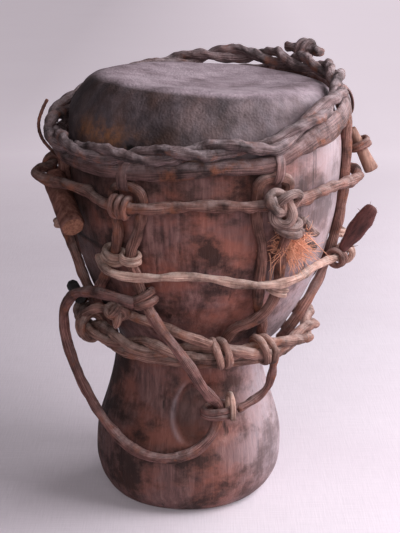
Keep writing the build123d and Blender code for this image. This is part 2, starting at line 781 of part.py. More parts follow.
# One file for each piece
bowl_pieces = {
    "drumhead": drumhead,
    "head_hem_roll": head_hem_roll,
    "head_braid_strand_a": head_braid_strand_a,
    "head_braid_strand_b": head_braid_strand_b,
    "rear_knot": rear_knot,
    "upper_thong": upper_thong,
    "lower_thong": lower_thong,
    "belt_strand_a": belt_strand_a,
    "belt_strand_b": belt_strand_b,
    "belt_lower_strand": belt_lower_strand,
    "left_peg": left_peg,
    "right_peg": right_peg,
    "right_peg_loop": right_peg_loop,
    "front_knot": front_knot,
    "front_knot_tail_upper": front_knot_tail_upper,
    "front_knot_tail_lower": front_knot_tail_lower,
    "frayed_tuft": frayed_tuft,
    "hide_tab": hide_tab,
    "side_knot": side_knot,
    "side_cord": side_cord,
}
for stem, group in (("lacing", lacings), ("head_link", head_links), ("tie", ties), ("keeper", keepers)):
    for name, piece in group.items():
        bowl_pieces[f"{stem}_{name}"] = piece
pieces = {name: bowl_place * piece for name, piece in bowl_pieces.items()}
pieces["shell"] = shell
pieces["waist_toggle"] = waist_toggle
pieces["diagonal_strap"] = diagonal_strap
pieces["carry_loop"] = carry_loop
pieces["strap_eye"] = strap_eye
pieces["strap_bight"] = strap_bight
pieces["strap_tail"] = strap_tail

# Measures of the cords and of the windings
for name, piece, route in (
        ("diagonal_strap", diagonal_strap, diagonal_route), ("carry_loop", carry_loop, loop_route)):
    bends = corner_radii([Vector(*point) for point in route], False)
    length = piece.volume / (math.pi * (strap_diameter / 2) ** 2)
    print(name, "length", round(length, 1), "tightest bend", round(min(bends), 1))
for name, piece in ties.items():
    print("tie", name, "gap between turns", round(winding_gap(tie_pitch, tie_diameter, tie_turns), 2))

os.makedirs("parts", exist_ok=True)
for name, piece in pieces.items():
    print(name, len(piece.solids()), round(piece.volume, 1), piece.is_valid)
    export_step(piece, f"parts/{name}.step")
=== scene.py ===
import math

import bpy
import numpy as np
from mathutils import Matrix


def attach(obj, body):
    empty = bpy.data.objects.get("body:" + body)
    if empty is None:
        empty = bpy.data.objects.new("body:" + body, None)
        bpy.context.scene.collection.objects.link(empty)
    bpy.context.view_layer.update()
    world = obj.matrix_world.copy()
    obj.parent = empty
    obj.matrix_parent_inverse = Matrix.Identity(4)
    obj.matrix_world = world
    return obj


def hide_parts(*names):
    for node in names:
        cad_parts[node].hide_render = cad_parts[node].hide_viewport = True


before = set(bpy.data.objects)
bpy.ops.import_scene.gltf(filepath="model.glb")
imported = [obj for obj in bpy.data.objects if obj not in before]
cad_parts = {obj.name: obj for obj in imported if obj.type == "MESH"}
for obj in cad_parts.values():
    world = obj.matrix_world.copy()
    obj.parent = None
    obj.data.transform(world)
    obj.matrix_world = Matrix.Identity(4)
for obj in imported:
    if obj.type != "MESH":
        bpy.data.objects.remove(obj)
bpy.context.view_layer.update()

# Sizes in millimetres and degrees, nearly all shared with the solids
MM = 0.001
TURN = 2 * math.pi
WAIST = 114.0
BOWL_TOP = 186.0
BOWL_OFFSET = 5.7
BOWL_LEAN = 3.0
NECK = 52.0
BELLY = 93.5
BELLY_HEIGHT = 131.0
BOWL_FULLNESS = 2.3
RIM = 78.5
RIM_ROUNDNESS = 2.6
WALL = 11.0
BOWL_FLOOR = 14.0
THROAT = 30.0
FOOT = 67.0
FOOT_BULGE = 31.0
FOOT_BASE = 47.0
FOOT_MOUTH = 38.0
FOOT_CAVITY = 70.0
CLEAR = 0.3
HUG = 0.7
THONG = 3.7
LEG_LIFT = THONG + CLEAR + HUG
HEM_MIDDLE = 158.5
HEM_SLANT = 13.5
BRAID_MIDDLE = 170.0
BRAID_SLANT = 14.5
RING_LOW = -50.0
RING_DIP = 5.0
RING_DIP_AZIMUTH = 22.0
RING_DIP_WIDTH = 12.0
HEM_LIFT = 9.1
CROWN_DROP = 9.7
CROWN_LIFT = 7.8
KEEPER_LIFT = 10.6
CROSS_LIFT = 13.1
KNOT_LIFT = 12.6
THONG_OVER = 13.1
PEG_LIFT = 24.0
PEG_SEAT = 8.8
UPPER_MIDDLE = 123.0
UPPER_FALL = 3.5
UPPER_DIP = 8.0
UPPER_HUMP = 5.0
UPPER_HUMP_AZIMUTH = 48
LOWER_HEIGHT = 73.5
LOWER_RADIUS = 3.0
LOWER_OVER = 17.6
LOWER_REST = 4.0
LOWER_END = 15.4
BRAID_SEAT = 10.2
BRAID_OVER_HEM = 6.4
BRAID_SINK = 2.5
BRAID_SINK_AZIMUTH = -105
REAR_LIFT = 21.0
REAR_AZIMUTH = RING_LOW + 180
BELT_HEIGHT = 24.0
BELT_LOWER_HEIGHT = 11.0
BELT_LIFT = 16.7
BELT_LOWER_LIFT = 12.55
TAIL_LIFT = 3.5
TIE_SPREAD = 8.0
LEG_SPREAD = 6.2
LEG_FLARE = 19.0
LACING_DROP = 14.0
LACING_FIXED = 36.0
LACING_WHOLE = 60.0
PAIRS = {
    "front_left": -30.0,
    "front_right": 25.5,
    "right": 92.0,
    "back_right": 148.0,
    "back_left": 210.0,
    "left": 264.0,
}


def smooth(low, high, value):
    """Soft step from 0 at low to 1 at high."""
    share = np.clip((value - low) / (high - low), 0, 1)
    return share * share * (3 - 2 * share)


def bump_at(value, middle, width):
    """Soft bell round a middle value."""
    return np.exp(-((value - middle) / width) ** 2)


def unit(vectors):
    return vectors / np.linalg.norm(vectors, axis=-1, keepdims=True)


def circle(count):
    """Angles evenly once round."""
    return np.linspace(0, TURN, count, endpoint=False)


LUMP_WAVES = 9
LUMP_PEAK = 3.2


def lumps(points, scale, seed):
    """Smooth seeded unevenness, about -1 to 1, with lumps of about that many millimetres."""
    dice = np.random.default_rng(seed)
    ways = unit(dice.normal(size=(LUMP_WAVES, 3)))
    waves = ways * dice.uniform(0.6, 1.5, (LUMP_WAVES, 1)) * (math.pi / scale)
    phases = dice.uniform(0, TURN, LUMP_WAVES)
    return np.sin(points @ waves.T + phases).sum(axis=-1) / LUMP_PEAK


def bowl_radius(height):
    fall = np.clip(1 - height / BELLY_HEIGHT, 0, 1)
    lower = NECK + (BELLY - NECK) * (1 - fall ** BOWL_FULLNESS)
    rise = np.clip((height - BELLY_HEIGHT) / (BOWL_TOP - BELLY_HEIGHT), 0, 1)
    upper = RIM + (BELLY - RIM) * (1 - rise ** RIM_ROUNDNESS)
    return np.where(height < BELLY_HEIGHT, lower, upper)


def foot_radius(z):
    fall = np.clip((FOOT_BULGE - z) / FOOT_BULGE, 0, 1)
    lower = FOOT_BASE + (FOOT - FOOT_BASE) * np.sqrt(1 - fall * fall)
    rise = np.clip((z - FOOT_BULGE) / (WAIST - FOOT_BULGE), 0, 1)
    upper = NECK + (FOOT - NECK) * (1 + np.cos(math.pi * rise)) / 2
    return np.where(z < FOOT_BULGE, lower, upper)


def polar(azimuth, radius, height):
    """Points at azimuths from the front towards the right, radii and heights."""
    angle, radius, height = np.broadcast_arrays(np.radians(azimuth), radius, height)
    return np.stack([radius * np.sin(angle), -radius * np.cos(angle), height], -1)


def on_bowl(azimuth, height, lift):
    """Points that stand off the bowl by lift, in the bowl frame."""
    azimuth, height, lift = np.broadcast_arrays(azimuth, height, lift)
    foot = np.minimum(height, BOWL_TOP)
    step = 0.01
    slope = (bowl_radius(foot) - bowl_radius(foot - step)) / step
    angle = np.arctan(-slope) + np.maximum(0, height - BOWL_TOP) / lift
    return polar(azimuth, bowl_radius(foot) + lift * np.cos(angle), foot + lift * np.sin(angle))


LEAN_COS = math.cos(math.radians(BOWL_LEAN))
LEAN_SIN = math.sin(math.radians(BOWL_LEAN))


def from_bowl(points):
    """Points of the bowl frame, in the drum's frame."""
    x, y, z = np.moveaxis(points, -1, 0)
    return np.stack([
        BOWL_OFFSET + x * LEAN_COS + z * LEAN_SIN, y, WAIST - x * LEAN_SIN + z * LEAN_COS], -1)


def turned(vectors):
    """Directions of the bowl frame, in the drum's frame."""
    return from_bowl(vectors) - from_bowl(np.zeros(3))


def facing(azimuth):
    """Direction level out of the bowl at an azimuth, in the drum's frame."""
    return turned(polar(azimuth, 1.0, 0.0))


def bowl_axes(azimuth):
    """Directions across, up and out of the bowl at an azimuth, in the drum's frame."""
    return facing(azimuth + 90), turned(np.array([0.0, 0.0, 1.0])), facing(azimuth)


def spot_at(azimuth, height, lift):
    """Points that stand off the bowl by lift, in the drum's frame."""
    return from_bowl(on_bowl(azimuth, height, lift))


def laid(stations):
    """Points of stations, each an azimuth, height and lift on the bowl, in the drum's frame."""
    return spot_at(*np.array(stations, float).T)


def laced_points(stations):
    """Stations of the lacing, brought down with the thongs that cross it."""
    run = LACING_WHOLE - LACING_FIXED
    return [(azimuth, height - LACING_DROP * min(max((height - LACING_FIXED) / run, 0), 1), lift)
            for azimuth, height, lift in stations]


def half_turned(azimuth):
    """The same azimuth between -180 and 180 degrees."""
    return (azimuth + 180) % 360 - 180


def bell(azimuth, middle, width):
    """Soft bell round an azimuth."""
    return bump_at(half_turned(azimuth - middle), 0, width)


def ring_height(middle, slant, azimuth):
    reach = BELLY * math.tan(math.radians(slant))
    low = reach * np.cos(np.radians(azimuth - RING_LOW))
    return middle - low - RING_DIP * bell(azimuth, RING_DIP_AZIMUTH, RING_DIP_WIDTH)


def hem_height(azimuth):
    return ring_height(HEM_MIDDLE, HEM_SLANT, azimuth)


def braid_height(azimuth):
    return ring_height(BRAID_MIDDLE, BRAID_SLANT, azimuth)


def braid_lift(azimuth):
    share = (1 + np.cos(np.radians(azimuth - RING_LOW))) / 2
    return BRAID_SEAT + BRAID_OVER_HEM * share - BRAID_SINK * bell(azimuth, BRAID_SINK_AZIMUTH, 32)


def upper_height(azimuth):
    level = UPPER_MIDDLE - UPPER_FALL * np.cos(np.radians(azimuth - RING_LOW))
    level = level - UPPER_DIP * bell(azimuth, PAIRS["front_left"], 10)
    return level + UPPER_HUMP * bell(azimuth, UPPER_HUMP_AZIMUTH, 16)


def show(name, data):
    """New object in the scene."""
    obj = bpy.data.objects.new(name, data)
    bpy.context.scene.collection.objects.link(obj)
    return obj


# Lines of cords
SPLINE_STEPS = 16
SPLINE_ORDER = 3


def spline(points):
    """Points on the smooth curve that has these control points, in millimetres."""
    curve = bpy.data.curves.new("route", "CURVE")
    curve.dimensions = "3D"
    curve.resolution_u = SPLINE_STEPS
    line = curve.splines.new("NURBS")
    line.points.add(len(points) - 1)
    for spot, point in zip(line.points, np.array(points) * MM):
        spot.co = (*point, 1)
    line.order_u = SPLINE_ORDER
    line.use_endpoint_u = True
    holder = show("route", curve)
    bpy.context.view_layer.update()
    mesh = bpy.data.meshes.new_from_object(holder.evaluated_get(bpy.context.evaluated_depsgraph_get()))
    found = np.empty(len(mesh.vertices) * 3)
    mesh.vertices.foreach_get("co", found)
    bpy.data.meshes.remove(mesh)
    bpy.data.objects.remove(holder)
    bpy.data.curves.remove(curve)
    return found.reshape(-1, 3) / MM


def lengths_along(line):
    """Length of a line from its start to each of its points."""
    return np.concatenate([[0], np.cumsum(np.linalg.norm(np.diff(line, axis=0), axis=1))])


def even(fields, step, closed):
    """Points an even step apart on a line, with what further columns the line has."""
    if closed:
        fields = np.vstack([fields, fields[:1]])
    gone = lengths_along(fields[:, :3])
    count = max(4, int(round(gone[-1] / step)))
    marks = np.linspace(0, gone[-1], count + 1)
    if closed:
        marks = marks[:-1]
    return np.stack([np.interp(marks, gone, column) for column in fields.T], -1)


FIRST_OUT = np.array([0.31, -0.92, 0.23])


def frames(line, outs, closed):
    """Directions along, out of and across a line at each of its points."""
    ahead = np.roll(line, -1, 0) - np.roll(line, 1, 0)
    if not closed:
        ahead[0] = line[1] - line[0]
        ahead[-1] = line[-1] - line[-2]
    along = unit(ahead)
    if outs is None:
        last = FIRST_OUT
        out = np.empty_like(line)
        for i, way in enumerate(along):
            last = last - way * last.dot(way)
            last = last / np.linalg.norm(last)
            out[i] = last
    else:
        out = unit(outs - along * (outs * along).sum(-1, keepdims=True))
    return along, out, np.cross(along, out)


MM_PER_CM = 10


def stack(rings, closed, lengths, girth, shift=0.0):
    """Mesh data over a stack of rings, closed on itself or with flat ends; its UV is in centimetres."""
    count, sides = rings.shape[:2]
    last = count if closed else count - 1
    i = np.arange(last)[:, None]
    j = np.arange(sides)[None, :]
    near, far = i * sides, ((i + 1) % count) * sides
    across = (j + 1) % sides
    faces = np.stack([near + j, near + across, far + across, far + j], -1).reshape(-1, 4).tolist()
    u = np.asarray(lengths) / MM_PER_CM + shift
    v = np.linspace(0, girth / MM_PER_CM, sides + 1) + shift * 0.37
    start, end = u[:last, None], u[1:last + 1, None]
    corners = ((start, v[:-1]), (start, v[1:]), (end, v[1:]), (end, v[:-1]))
    square = [np.stack(np.broadcast_arrays(*corner), -1) for corner in corners]
    uv = [np.stack(square, 2).reshape(-1, 2)]
    if not closed:
        ring = np.arange(sides)
        faces.append(ring[::-1].tolist())
        faces.append((ring + (count - 1) * sides).tolist())
        flat = np.stack([np.cos(ring), np.sin(ring)], -1) * 0.1 + shift
        uv += [flat, flat]
    return {"verts": rings.reshape(-1, 3), "faces": faces, "uv": np.vstack(uv)}


def section(out, side, theta, deep, wide):
    """Rings of directions round a line, scaled out of and across it."""
    return (out[:, None] * (np.cos(theta) * deep[:, None])[..., None]
            + side[:, None] * (np.sin(theta) * wide[:, None])[..., None])


FINE_LUMPS = 7
BROAD_LUMPS = 22
UV_SPREAD = 60
GROOVE_WIDTH = 0.33
SECOND_TURN = 2.3
SECOND_WIDTH = 0.25
TIP = ((0.86, 0.55), (0.55, 0.9), (0.18, 1.0))
TIP_LENGTHS = np.array([0.5, 1.0, 1.5])


def rope(line, radius, seed, closed=False, outs=None, deep=1.0, wide=1.0, *, twist, groove=0.16,
         oval=0.08, rough=0.05, swell=1.0, sides=18, step=1.4, ends=(0.5, 0.5)):
    """Rolled thong along a line: a grooved, slightly oval and uneven section that turns as it goes.

    deep and wide scale it out of and across the line; swell scales its radius along its length.
    """
    if outs is not None:
        fields = even(np.hstack([line, outs]), step, closed)
        line, outs = fields[:, :3], fields[:, 3:]
    else:
        line = even(line, step, closed)
        outs = line - line.mean(0) if closed else None
    along, out, side = frames(line, outs, closed)
    dice = np.random.default_rng(seed)
    gone = lengths_along(np.vstack([line, line[:1]]))
    place = gone[:-1]
    share = place / gone[-2]
    theta = circle(sides)
    turns = TURN * place / twist
    if closed:
        turns = TURN * round(gone[-1] / twist) * place / gone[-1]
    local = theta[None, :] - (turns + dice.uniform(0, 6.28))[:, None]
    wrapped = (local + math.pi) % TURN - math.pi
    second = (local - SECOND_TURN + math.pi) % TURN - math.pi
    size = 1 + oval * np.cos(2 * local)
    size = size - groove * bump_at(wrapped, 0, GROOVE_WIDTH)
    size = size - 0.5 * groove * bump_at(second, 0, SECOND_WIDTH)
    plain = np.ones_like(share)
    deep, wide, swell = (
        np.interp(share, *value) if np.ndim(value) else value * plain for value in (deep, wide, swell))
    skin = line[:, None] + radius * section(out, side, theta, plain, plain)
    size = size + rough * lumps(skin, FINE_LUMPS, seed + 11)
    size = size + 0.8 * rough * lumps(skin, BROAD_LUMPS, seed + 12)
    size = size * swell[:, None]
    rings = line[:, None] + radius * size[..., None] * section(out, side, theta, deep, wide)
    girth = TURN * radius
    shift = dice.uniform(0, UV_SPREAD)
    if closed:
        return stack(rings, True, gone, girth, shift)
    tips = []
    for end, way, reach in ((0, -1, ends[0]), (-1, 1, ends[1])):
        tips.append(np.array([
            line[end] + (rings[end] - line[end]) * scale + along[end] * (way * radius * reach * ahead)
            for scale, ahead in TIP]))
    whole = np.concatenate([tips[0][::-1], rings, tips[1]])
    lengths = np.concatenate([-TIP_LENGTHS[::-1], place, place[-1] + TIP_LENGTHS])
    return stack(whole, False, lengths, girth, shift)


def wisps(roots, ways, lengths, radius, curl, seed, droop=0.0):
    """Mesh data of many thin tapering hairs."""
    dice = np.random.default_rng(seed)
    marks = np.linspace(0, 1, 6)[:, None]
    hairs = []
    for root, way, length in zip(roots, ways, lengths):
        bend = unit(dice.normal(size=3))
        line = root + way * length * marks + bend * curl * length * marks ** 2
        line = line + np.array([0, 0, -droop * length]) * marks ** 2
        along, out, side = frames(line, None, False)
        thick = radius * dice.uniform(0.7, 1.2) * (1 - 0.8 * marks)
        rings = np.stack([line + way * thick for way in (out, side, -out, -side)], 1)
        hairs.append(stack(rings, False, marks[:, 0] * length, 8 * radius, dice.uniform(0, UV_SPREAD)))
    return hairs


def dress(node, parts, material, body="drum", masks=None, ends=None):
    """One object from mesh data, that stands for a node of the frame and rides on a body."""
    name = node + "_look"
    faces = []
    base = 0
    for part in parts:
        faces += [[k + base for k in face] for face in part["faces"]]
        base += len(part["verts"])
    verts = np.vstack([part["verts"] for part in parts]) * MM
    mesh = bpy.data.meshes.new(name)
    mesh.from_pydata(verts.tolist(), [], faces)
    layer = mesh.uv_layers.new(name="UVMap")
    layer.data.foreach_set("uv", np.vstack([part["uv"] for part in parts]).ravel())
    mesh.polygons.foreach_set("use_smooth", [True] * len(mesh.polygons))
    for key, values in (masks or {}).items():
        field = mesh.attributes.new(key, "FLOAT", "POINT")
        field.data.foreach_set("value", np.ravel(values))
    mesh.materials.append(material)
    if ends is not None:
        mesh.materials.append(ends)
        for face in mesh.polygons:
            if len(face.vertices) > 4:
                face.material_index = 1
                face.use_smooth = False
    mesh.update()
    obj = show(name, mesh)
    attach(obj, body)
    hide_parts(node)
    return obj


# Materials
SPECULAR = 0.3


def new_material(name):
    """New material, and its object's coordinates."""
    material = bpy.data.materials.new(name)
    material.use_nodes = True
    return material, put(material.node_tree, "TexCoord", out="Object")


def feed(tree, socket, value):
    """Links an input to an output, or sets it."""
    if isinstance(value, bpy.types.NodeSocket):
        tree.links.new(value, socket)
    elif socket.type == "RGBA":
        socket.default_value = (*value, 1)
    else:
        socket.default_value = value


def put(where, kind, *values, out=0, **settings):
    """Output of a new shader node in the tree of a socket.

    Values, and settings whose names start with a capital, feed its inputs.
    """
    tree = where.id_data
    made = tree.nodes.new("ShaderNode" + kind)
    for place, value in enumerate(values):
        feed(tree, made.inputs[place], value)
    for key, value in settings.items():
        if key[0].isupper():
            feed(tree, made.inputs[key], value)
        else:
            setattr(made, key, value)
    return made.outputs[out]


def noise(where, scale, detail, rough=0.55, stretch=(1, 1, 1)):
    """Noise factor over coordinates that are first stretched."""
    spread = put(where, "Mapping", Vector=where, Scale=stretch)
    return put(where, "TexNoise", Vector=spread, Scale=scale, Detail=detail, Roughness=rough)


def ramp(factor, *stops):
    """Colours or greys along a factor."""
    made = put(factor, "ValToRGB", Fac=factor)
    band = made.node.color_ramp.elements
    while len(band) < len(stops):
        band.new(0.5)
    for spot, (place, colour) in zip(band, stops):
        spot.position = place
        spot.color = (*colour, 1) if np.ndim(colour) else (colour, colour, colour, 1)
    return made


def mix(factor, first, second, kind="MIX"):
    return put(first, "MixRGB", factor, first, second, blend_type=kind)


def times(first, second, operation="MULTIPLY"):
    return put(first, "Math", first, second, operation=operation)


def mask(spots, key):
    return put(spots, "Attribute", out="Fac", attribute_name=key)


def surface(material, colour, roughness, height, distance, strength, others=None):
    """The material, with its shader's colour, roughness, relief and other inputs fed."""
    tree = material.node_tree
    relief = put(tree, "Bump", Height=height, Distance=distance, Strength=strength)
    inputs = {"Base Color": colour, "Roughness": roughness, "Normal": relief, "Specular IOR Level": SPECULAR}
    inputs.update(others or {})
    for key, value in inputs.items():
        feed(tree, tree.nodes["Principled BSDF"].inputs[key], value)
    return material


def hide(name, dark, mid, light, dust_and_highlight, dust_and_highlight_share, rust=0.65):
    """Rolled leather: fibres along the thong, blotches, rusty patches, dust and a painted highlight on top,
    cracks across.
    """
    material, place = new_material(name)
    length = place.node.outputs["UV"]
    fine = noise(length, 1.0, 6, 0.6, (0.45, 14.0, 1))
    broad = noise(place, 60, 5, 0.6)
    colour = ramp(fine, (0.34, dark), (0.5, mid), (0.68, light))
    shade = ramp(broad, (0.34, 0.25), (0.5, 0.85), (0.66, 1.3))
    colour = mix(1.0, colour, shade, "MULTIPLY")
    rusty = ramp(noise(place, 75, 6, 0.65), (0.53, 0.0), (0.66, rust))
    colour = mix(rusty, colour, (0.29, 0.098, 0.05))
    patches = ramp(noise(place, 130, 6, 0.7), (0.42, 0.15), (0.66, 1.0))
    # Painted highlight on top: upward faces are painted paler in patches, as dust and as light falling on
    # them.
    up = put(place, "SeparateXYZ", out="Z", Vector=place.node.outputs["Normal"])
    dust_and_top_highlight = times(patches, ramp(up, (0.05, 0.0), (0.85, 1.0)))
    colour = mix(times(dust_and_top_highlight, dust_and_highlight_share), colour, dust_and_highlight)
    cracks = noise(length, 1.0, 3, 0.5, (7.0, 2.0, 1))
    height = times(fine, times(cracks, 0.6), "ADD")
    return surface(material, colour, ramp(broad, (0.35, 0.8), (0.7, 0.45)), height, 0.0015, 1.0)


def timber(name, dark, mid, light, roughness=0.55, grain=(90.0, 90.0, 9.0)):
    """Whittled wood; the smallest of the grain's three numbers is the direction it runs in."""
    material, spots = new_material(name)
    fine = noise(spots, 4.0, 6, 0.6, grain)
    broad = noise(spots, 40, 4)
    colour = ramp(fine, (0.3, dark), (0.52, mid), (0.75, light))
    colour = mix(1.0, colour, ramp(broad, (0.3, 0.5), (0.65, 1.0)), "MULTIPLY")
    worn = ramp(broad, (0.3, roughness + 0.2), (0.7, roughness - 0.12))
    return surface(material, colour, worn, fine, 0.0009, 0.8)


def carved_wood():
    """Old hardwood: reddish brown with upright grain, dust with a painted sheen, dark stains, scratches and
    splits, and painted shade from the shell's mask.
    """
    material, spots = new_material("carved_wood_look")
    grain = noise(spots, 5.0, 7, 0.66, (60, 60, 4.5))
    broad = noise(spots, 22, 5, 0.6, (1, 1, 1.5))
    blotch = noise(spots, 30, 7, 0.66, (1, 1, 1.2))
    colour = ramp(
        grain, (0.3, (0.075, 0.03, 0.026)), (0.5, (0.185, 0.08, 0.069)), (0.7, (0.31, 0.16, 0.14)))
    red = ramp(broad, (0.46, 0.0), (0.62, 0.7))
    colour = mix(red, colour, (0.31, 0.085, 0.047))
    # Pale grey-lilac from the mask: some dust, and a painted sheen where the shell faces the window lamp;
    # black stains fade there.
    dust_and_highlight = times(mask(spots, "dust_and_highlight"), ramp(blotch, (0.36, 1.0), (0.62, 0.72)))
    colour = mix(dust_and_highlight, colour, (0.48, 0.42, 0.46))
    dark = ramp(blotch, (0.46, 0.0), (0.6, 0.92))
    dark = times(dark, times(times(mask(spots, "dust_and_highlight"), -0.7), 1.0, "ADD"))
    colour = mix(dark, colour, (0.026, 0.012, 0.01))
    scratch = ramp(noise(spots, 9.0, 4, 0.7, (70, 70, 16)), (0.66, 0.0), (0.74, 0.4))
    colour = mix(scratch, colour, (0.38, 0.23, 0.19))
    split = ramp(noise(spots, 3.0, 4, 0.6, (48, 48, 2.4)), (0.3, 0.75), (0.36, 0.0))
    colour = mix(split, colour, (0.02, 0.01, 0.008))
    # Near-black painted shade from the shell's mask: the left side and foot away from the lamp, under the
    # ledge and inside the scoop.
    colour = mix(mask(spots, "stain_and_shade"), colour, (0.014, 0.008, 0.007))
    pits = noise(spots, 150, 4, stretch=(1, 1, 0.25))
    height = times(grain, times(pits, 0.6), "ADD")
    return surface(material, colour, ramp(blotch, (0.35, 0.46), (0.65, 0.7)), height, 0.0013, 0.8)


def drum_skin():
    """Old raw hide: pebbled, grey with handling and dust, dark stains, tan where rubbed, and a hole painted
    near black as its shade.
    """
    material, spots = new_material("drum_skin_look")
    broad = noise(spots, 26, 6, 0.62)
    fine = noise(spots, 170, 5, 0.6)
    colour = ramp(
        broad, (0.34, (0.19, 0.138, 0.155)), (0.5, (0.385, 0.3, 0.34)), (0.68, (0.52, 0.42, 0.47)))
    dark = times(mask(spots, "stain_and_shade"), ramp(broad, (0.3, 1.0), (0.68, 0.7)))
    soot = noise(spots, 60, 5, stretch=(1, 1, 0.5))
    smoke = ramp(soot, (0.4, (0.021, 0.013, 0.013)), (0.68, (0.075, 0.038, 0.029)))
    colour = mix(dark, colour, smoke)
    rubbed = ramp(noise(spots, 75, 6, 0.7), (0.42, 0.0), (0.62, 1.0))
    colour = mix(times(mask(spots, "wear"), rubbed), colour, (0.42, 0.18, 0.085))
    colour = mix(1.0, colour, ramp(fine, (0.3, 0.72), (0.62, 1.0)), "MULTIPLY")
    # Painted shade: a hole in the hide drawn near black instead of cut.
    colour = mix(mask(spots, "painted_hole_shade"), colour, (0.006, 0.004, 0.004))
    pebble = put(spots, "TexVoronoi", out="Distance", Vector=spots, Scale=620.0)
    height = times(fine, times(pebble, 0.35), "ADD")
    return surface(material, colour, ramp(broad, (0.35, 0.7), (0.7, 0.48)), height, 0.0011, 0.8)


def hair(name, dark, light, roughness=0.6):
    """Hair or raw fibre, with each strand its own shade."""
    material, spots = new_material(name)
    fine = noise(spots.node.outputs["UV"], 1.0, 4, stretch=(0.6, 3.0, 1))
    return surface(material, ramp(fine, (0.3, dark), (0.7, light)), roughness, fine, 0.0004, 0.6)


def woven_cloth():
    """Plain cloth with a fine uneven weave, with painted light: a glow seen only by the camera, brighter far
    off and at the right, that also lifts the shadow near the drum.
    """
    material, spots = new_material("backdrop_cloth")
    broad = noise(spots, 3.5, 3)
    warp = noise(spots, 1.0, 3, stretch=(900, 40, 40))
    weft = noise(spots, 1.0, 3, stretch=(40, 900, 900))
    weave = times(warp, weft, "ADD")
    colour = ramp(broad, (0.3, (0.655, 0.585, 0.645)), (0.7, (0.73, 0.67, 0.73)))
    threads = ramp(times(weave, 0.5), (0.35, 0.9), (0.65, 1.0))
    colour = mix(1.0, colour, threads, "MULTIPLY")
    # Painted light: a glow seen only by the camera, weaker at the left, that lifts the floor's shadow near
    # the drum and brightens it far off.
    seen = put(spots, "LightPath", out="Is Camera Ray")
    away = put(spots, "VectorMath", out="Value", operation="LENGTH", Vector=spots)
    far = ramp(times(away, 0.25), (0.05, 0.115), (0.1, 0.12), (0.17, 0.27), (0.32, 0.78))
    sideways = times(put(spots, "SeparateXYZ", out="X", Vector=spots), 0.5, "ADD")
    painted_glow = times(far, ramp(sideways, (0.15, 0.62), (0.85, 1.0)))
    painted_light = {"Emission Color": (0.87, 0.76, 0.84), "Emission Strength": times(seen, painted_glow)}
    return surface(material, colour, 0.95, weave, 0.0004, 0.3, painted_light)


WOOD = carved_wood()
SKIN = drum_skin()
HEM = hide(
    "hem_hide", (0.04, 0.02, 0.019), (0.135, 0.068, 0.062), (0.27, 0.155, 0.145),
    (0.46, 0.35, 0.36), 0.8)
BRAID = hide(
    "braid_hide", (0.055, 0.031, 0.03), (0.165, 0.103, 0.102), (0.32, 0.228, 0.23),
    (0.46, 0.37, 0.39), 0.8)
LACE = hide(
    "thong_hide", (0.06, 0.024, 0.019), (0.2, 0.088, 0.07), (0.36, 0.19, 0.155),
    (0.5, 0.37, 0.35), 0.7)
KNOT = hide(
    "knot_hide", (0.09, 0.046, 0.04), (0.27, 0.165, 0.145), (0.44, 0.3, 0.27),
    (0.54, 0.43, 0.42), 0.75, 0.3)
PALE = hide(
    "pale_thong_hide", (0.22, 0.105, 0.08), (0.52, 0.31, 0.25), (0.72, 0.5, 0.42),
    (0.8, 0.64, 0.58), 0.75, 0.25)
BELT = hide(
    "belt_hide", (0.09, 0.038, 0.03), (0.29, 0.145, 0.115), (0.52, 0.32, 0.26),
    (0.62, 0.47, 0.43), 0.75)
STRAP = hide(
    "strap_hide", (0.07, 0.028, 0.024), (0.21, 0.09, 0.078), (0.37, 0.2, 0.175),
    (0.46, 0.35, 0.34), 0.75)
PEG = timber("peg_wood_look", (0.11, 0.042, 0.032), (0.27, 0.115, 0.09), (0.42, 0.22, 0.17))
PEG_END = timber("peg_end_grain", (0.26, 0.105, 0.07), (0.45, 0.2, 0.13), (0.6, 0.31, 0.2),
                 0.75, (140.0, 140.0, 140.0))
PALE_PEG = timber("pale_peg_wood_look", (0.18, 0.085, 0.065), (0.38, 0.2, 0.15), (0.55, 0.33, 0.25))
BLACK = timber("black_wood_look", (0.006, 0.004, 0.004), (0.016, 0.011, 0.01), (0.04, 0.028, 0.026), 0.6)
HAIR = hair("hair_hide_look", (0.035, 0.012, 0.012), (0.15, 0.05, 0.045))
FIBRE = hair("fibre_look", (0.52, 0.19, 0.1), (0.92, 0.5, 0.35), 0.7)
CLOTH = woven_cloth()

# Camera at the photograph's viewing angle
camera = bpy.data.cameras.new("camera")
camera.sensor_width = 36
camera.lens = 90.5
eye = show("camera", camera)
eye.location = (0.0088, -0.921, 0.430)
eye.rotation_euler = (math.radians(74), 0, 0)
bpy.context.scene.camera = eye


# Front legs of the lacing, one of which runs on as the carrying strap
def leg(*stations):
    """Stations of a leg, which lies on the bowl where no other lift is given."""
    return laced_points([(*station, LEG_LIFT)[:3] for station in stations])


FRONT_LEGS = {
    "front_left": (
        leg((-35.0, 106), (-38.0, 93), (-43.5, 80.5), (-50.0, 69), (-59.0, 57), (-65.0, 40), (-67.0, 21),
            (-67.0, 10)),
        leg((-25.5, 112), (-28.5, 96, KEEPER_LIFT), (-27.0, 83, LEG_LIFT + 2), (-25.0, 73, LEG_LIFT + 4),
            (-19.0, 61.5, LEG_LIFT + 10))),
    "front_right": (
        leg((20.0, 122), (24.0, 108), (25.0, 90), (26.0, 71), (30.5, 52), (36.0, 33), (38.0, 18),
            (38.0, 10)),
        leg((31.7, 134), (31.6, 121, KNOT_LIFT), (32.0, 107, LEG_LIFT + 2), (32.8, 95, LEG_LIFT + 2),
            (32.6, 79, KEEPER_LIFT), (29.0, 66, CROSS_LIFT), (24.3, 51, CROSS_LIFT - 2),
            (17.5, 35, LEG_LIFT + 1), (14.0, 19), (13.5, 10))),
}

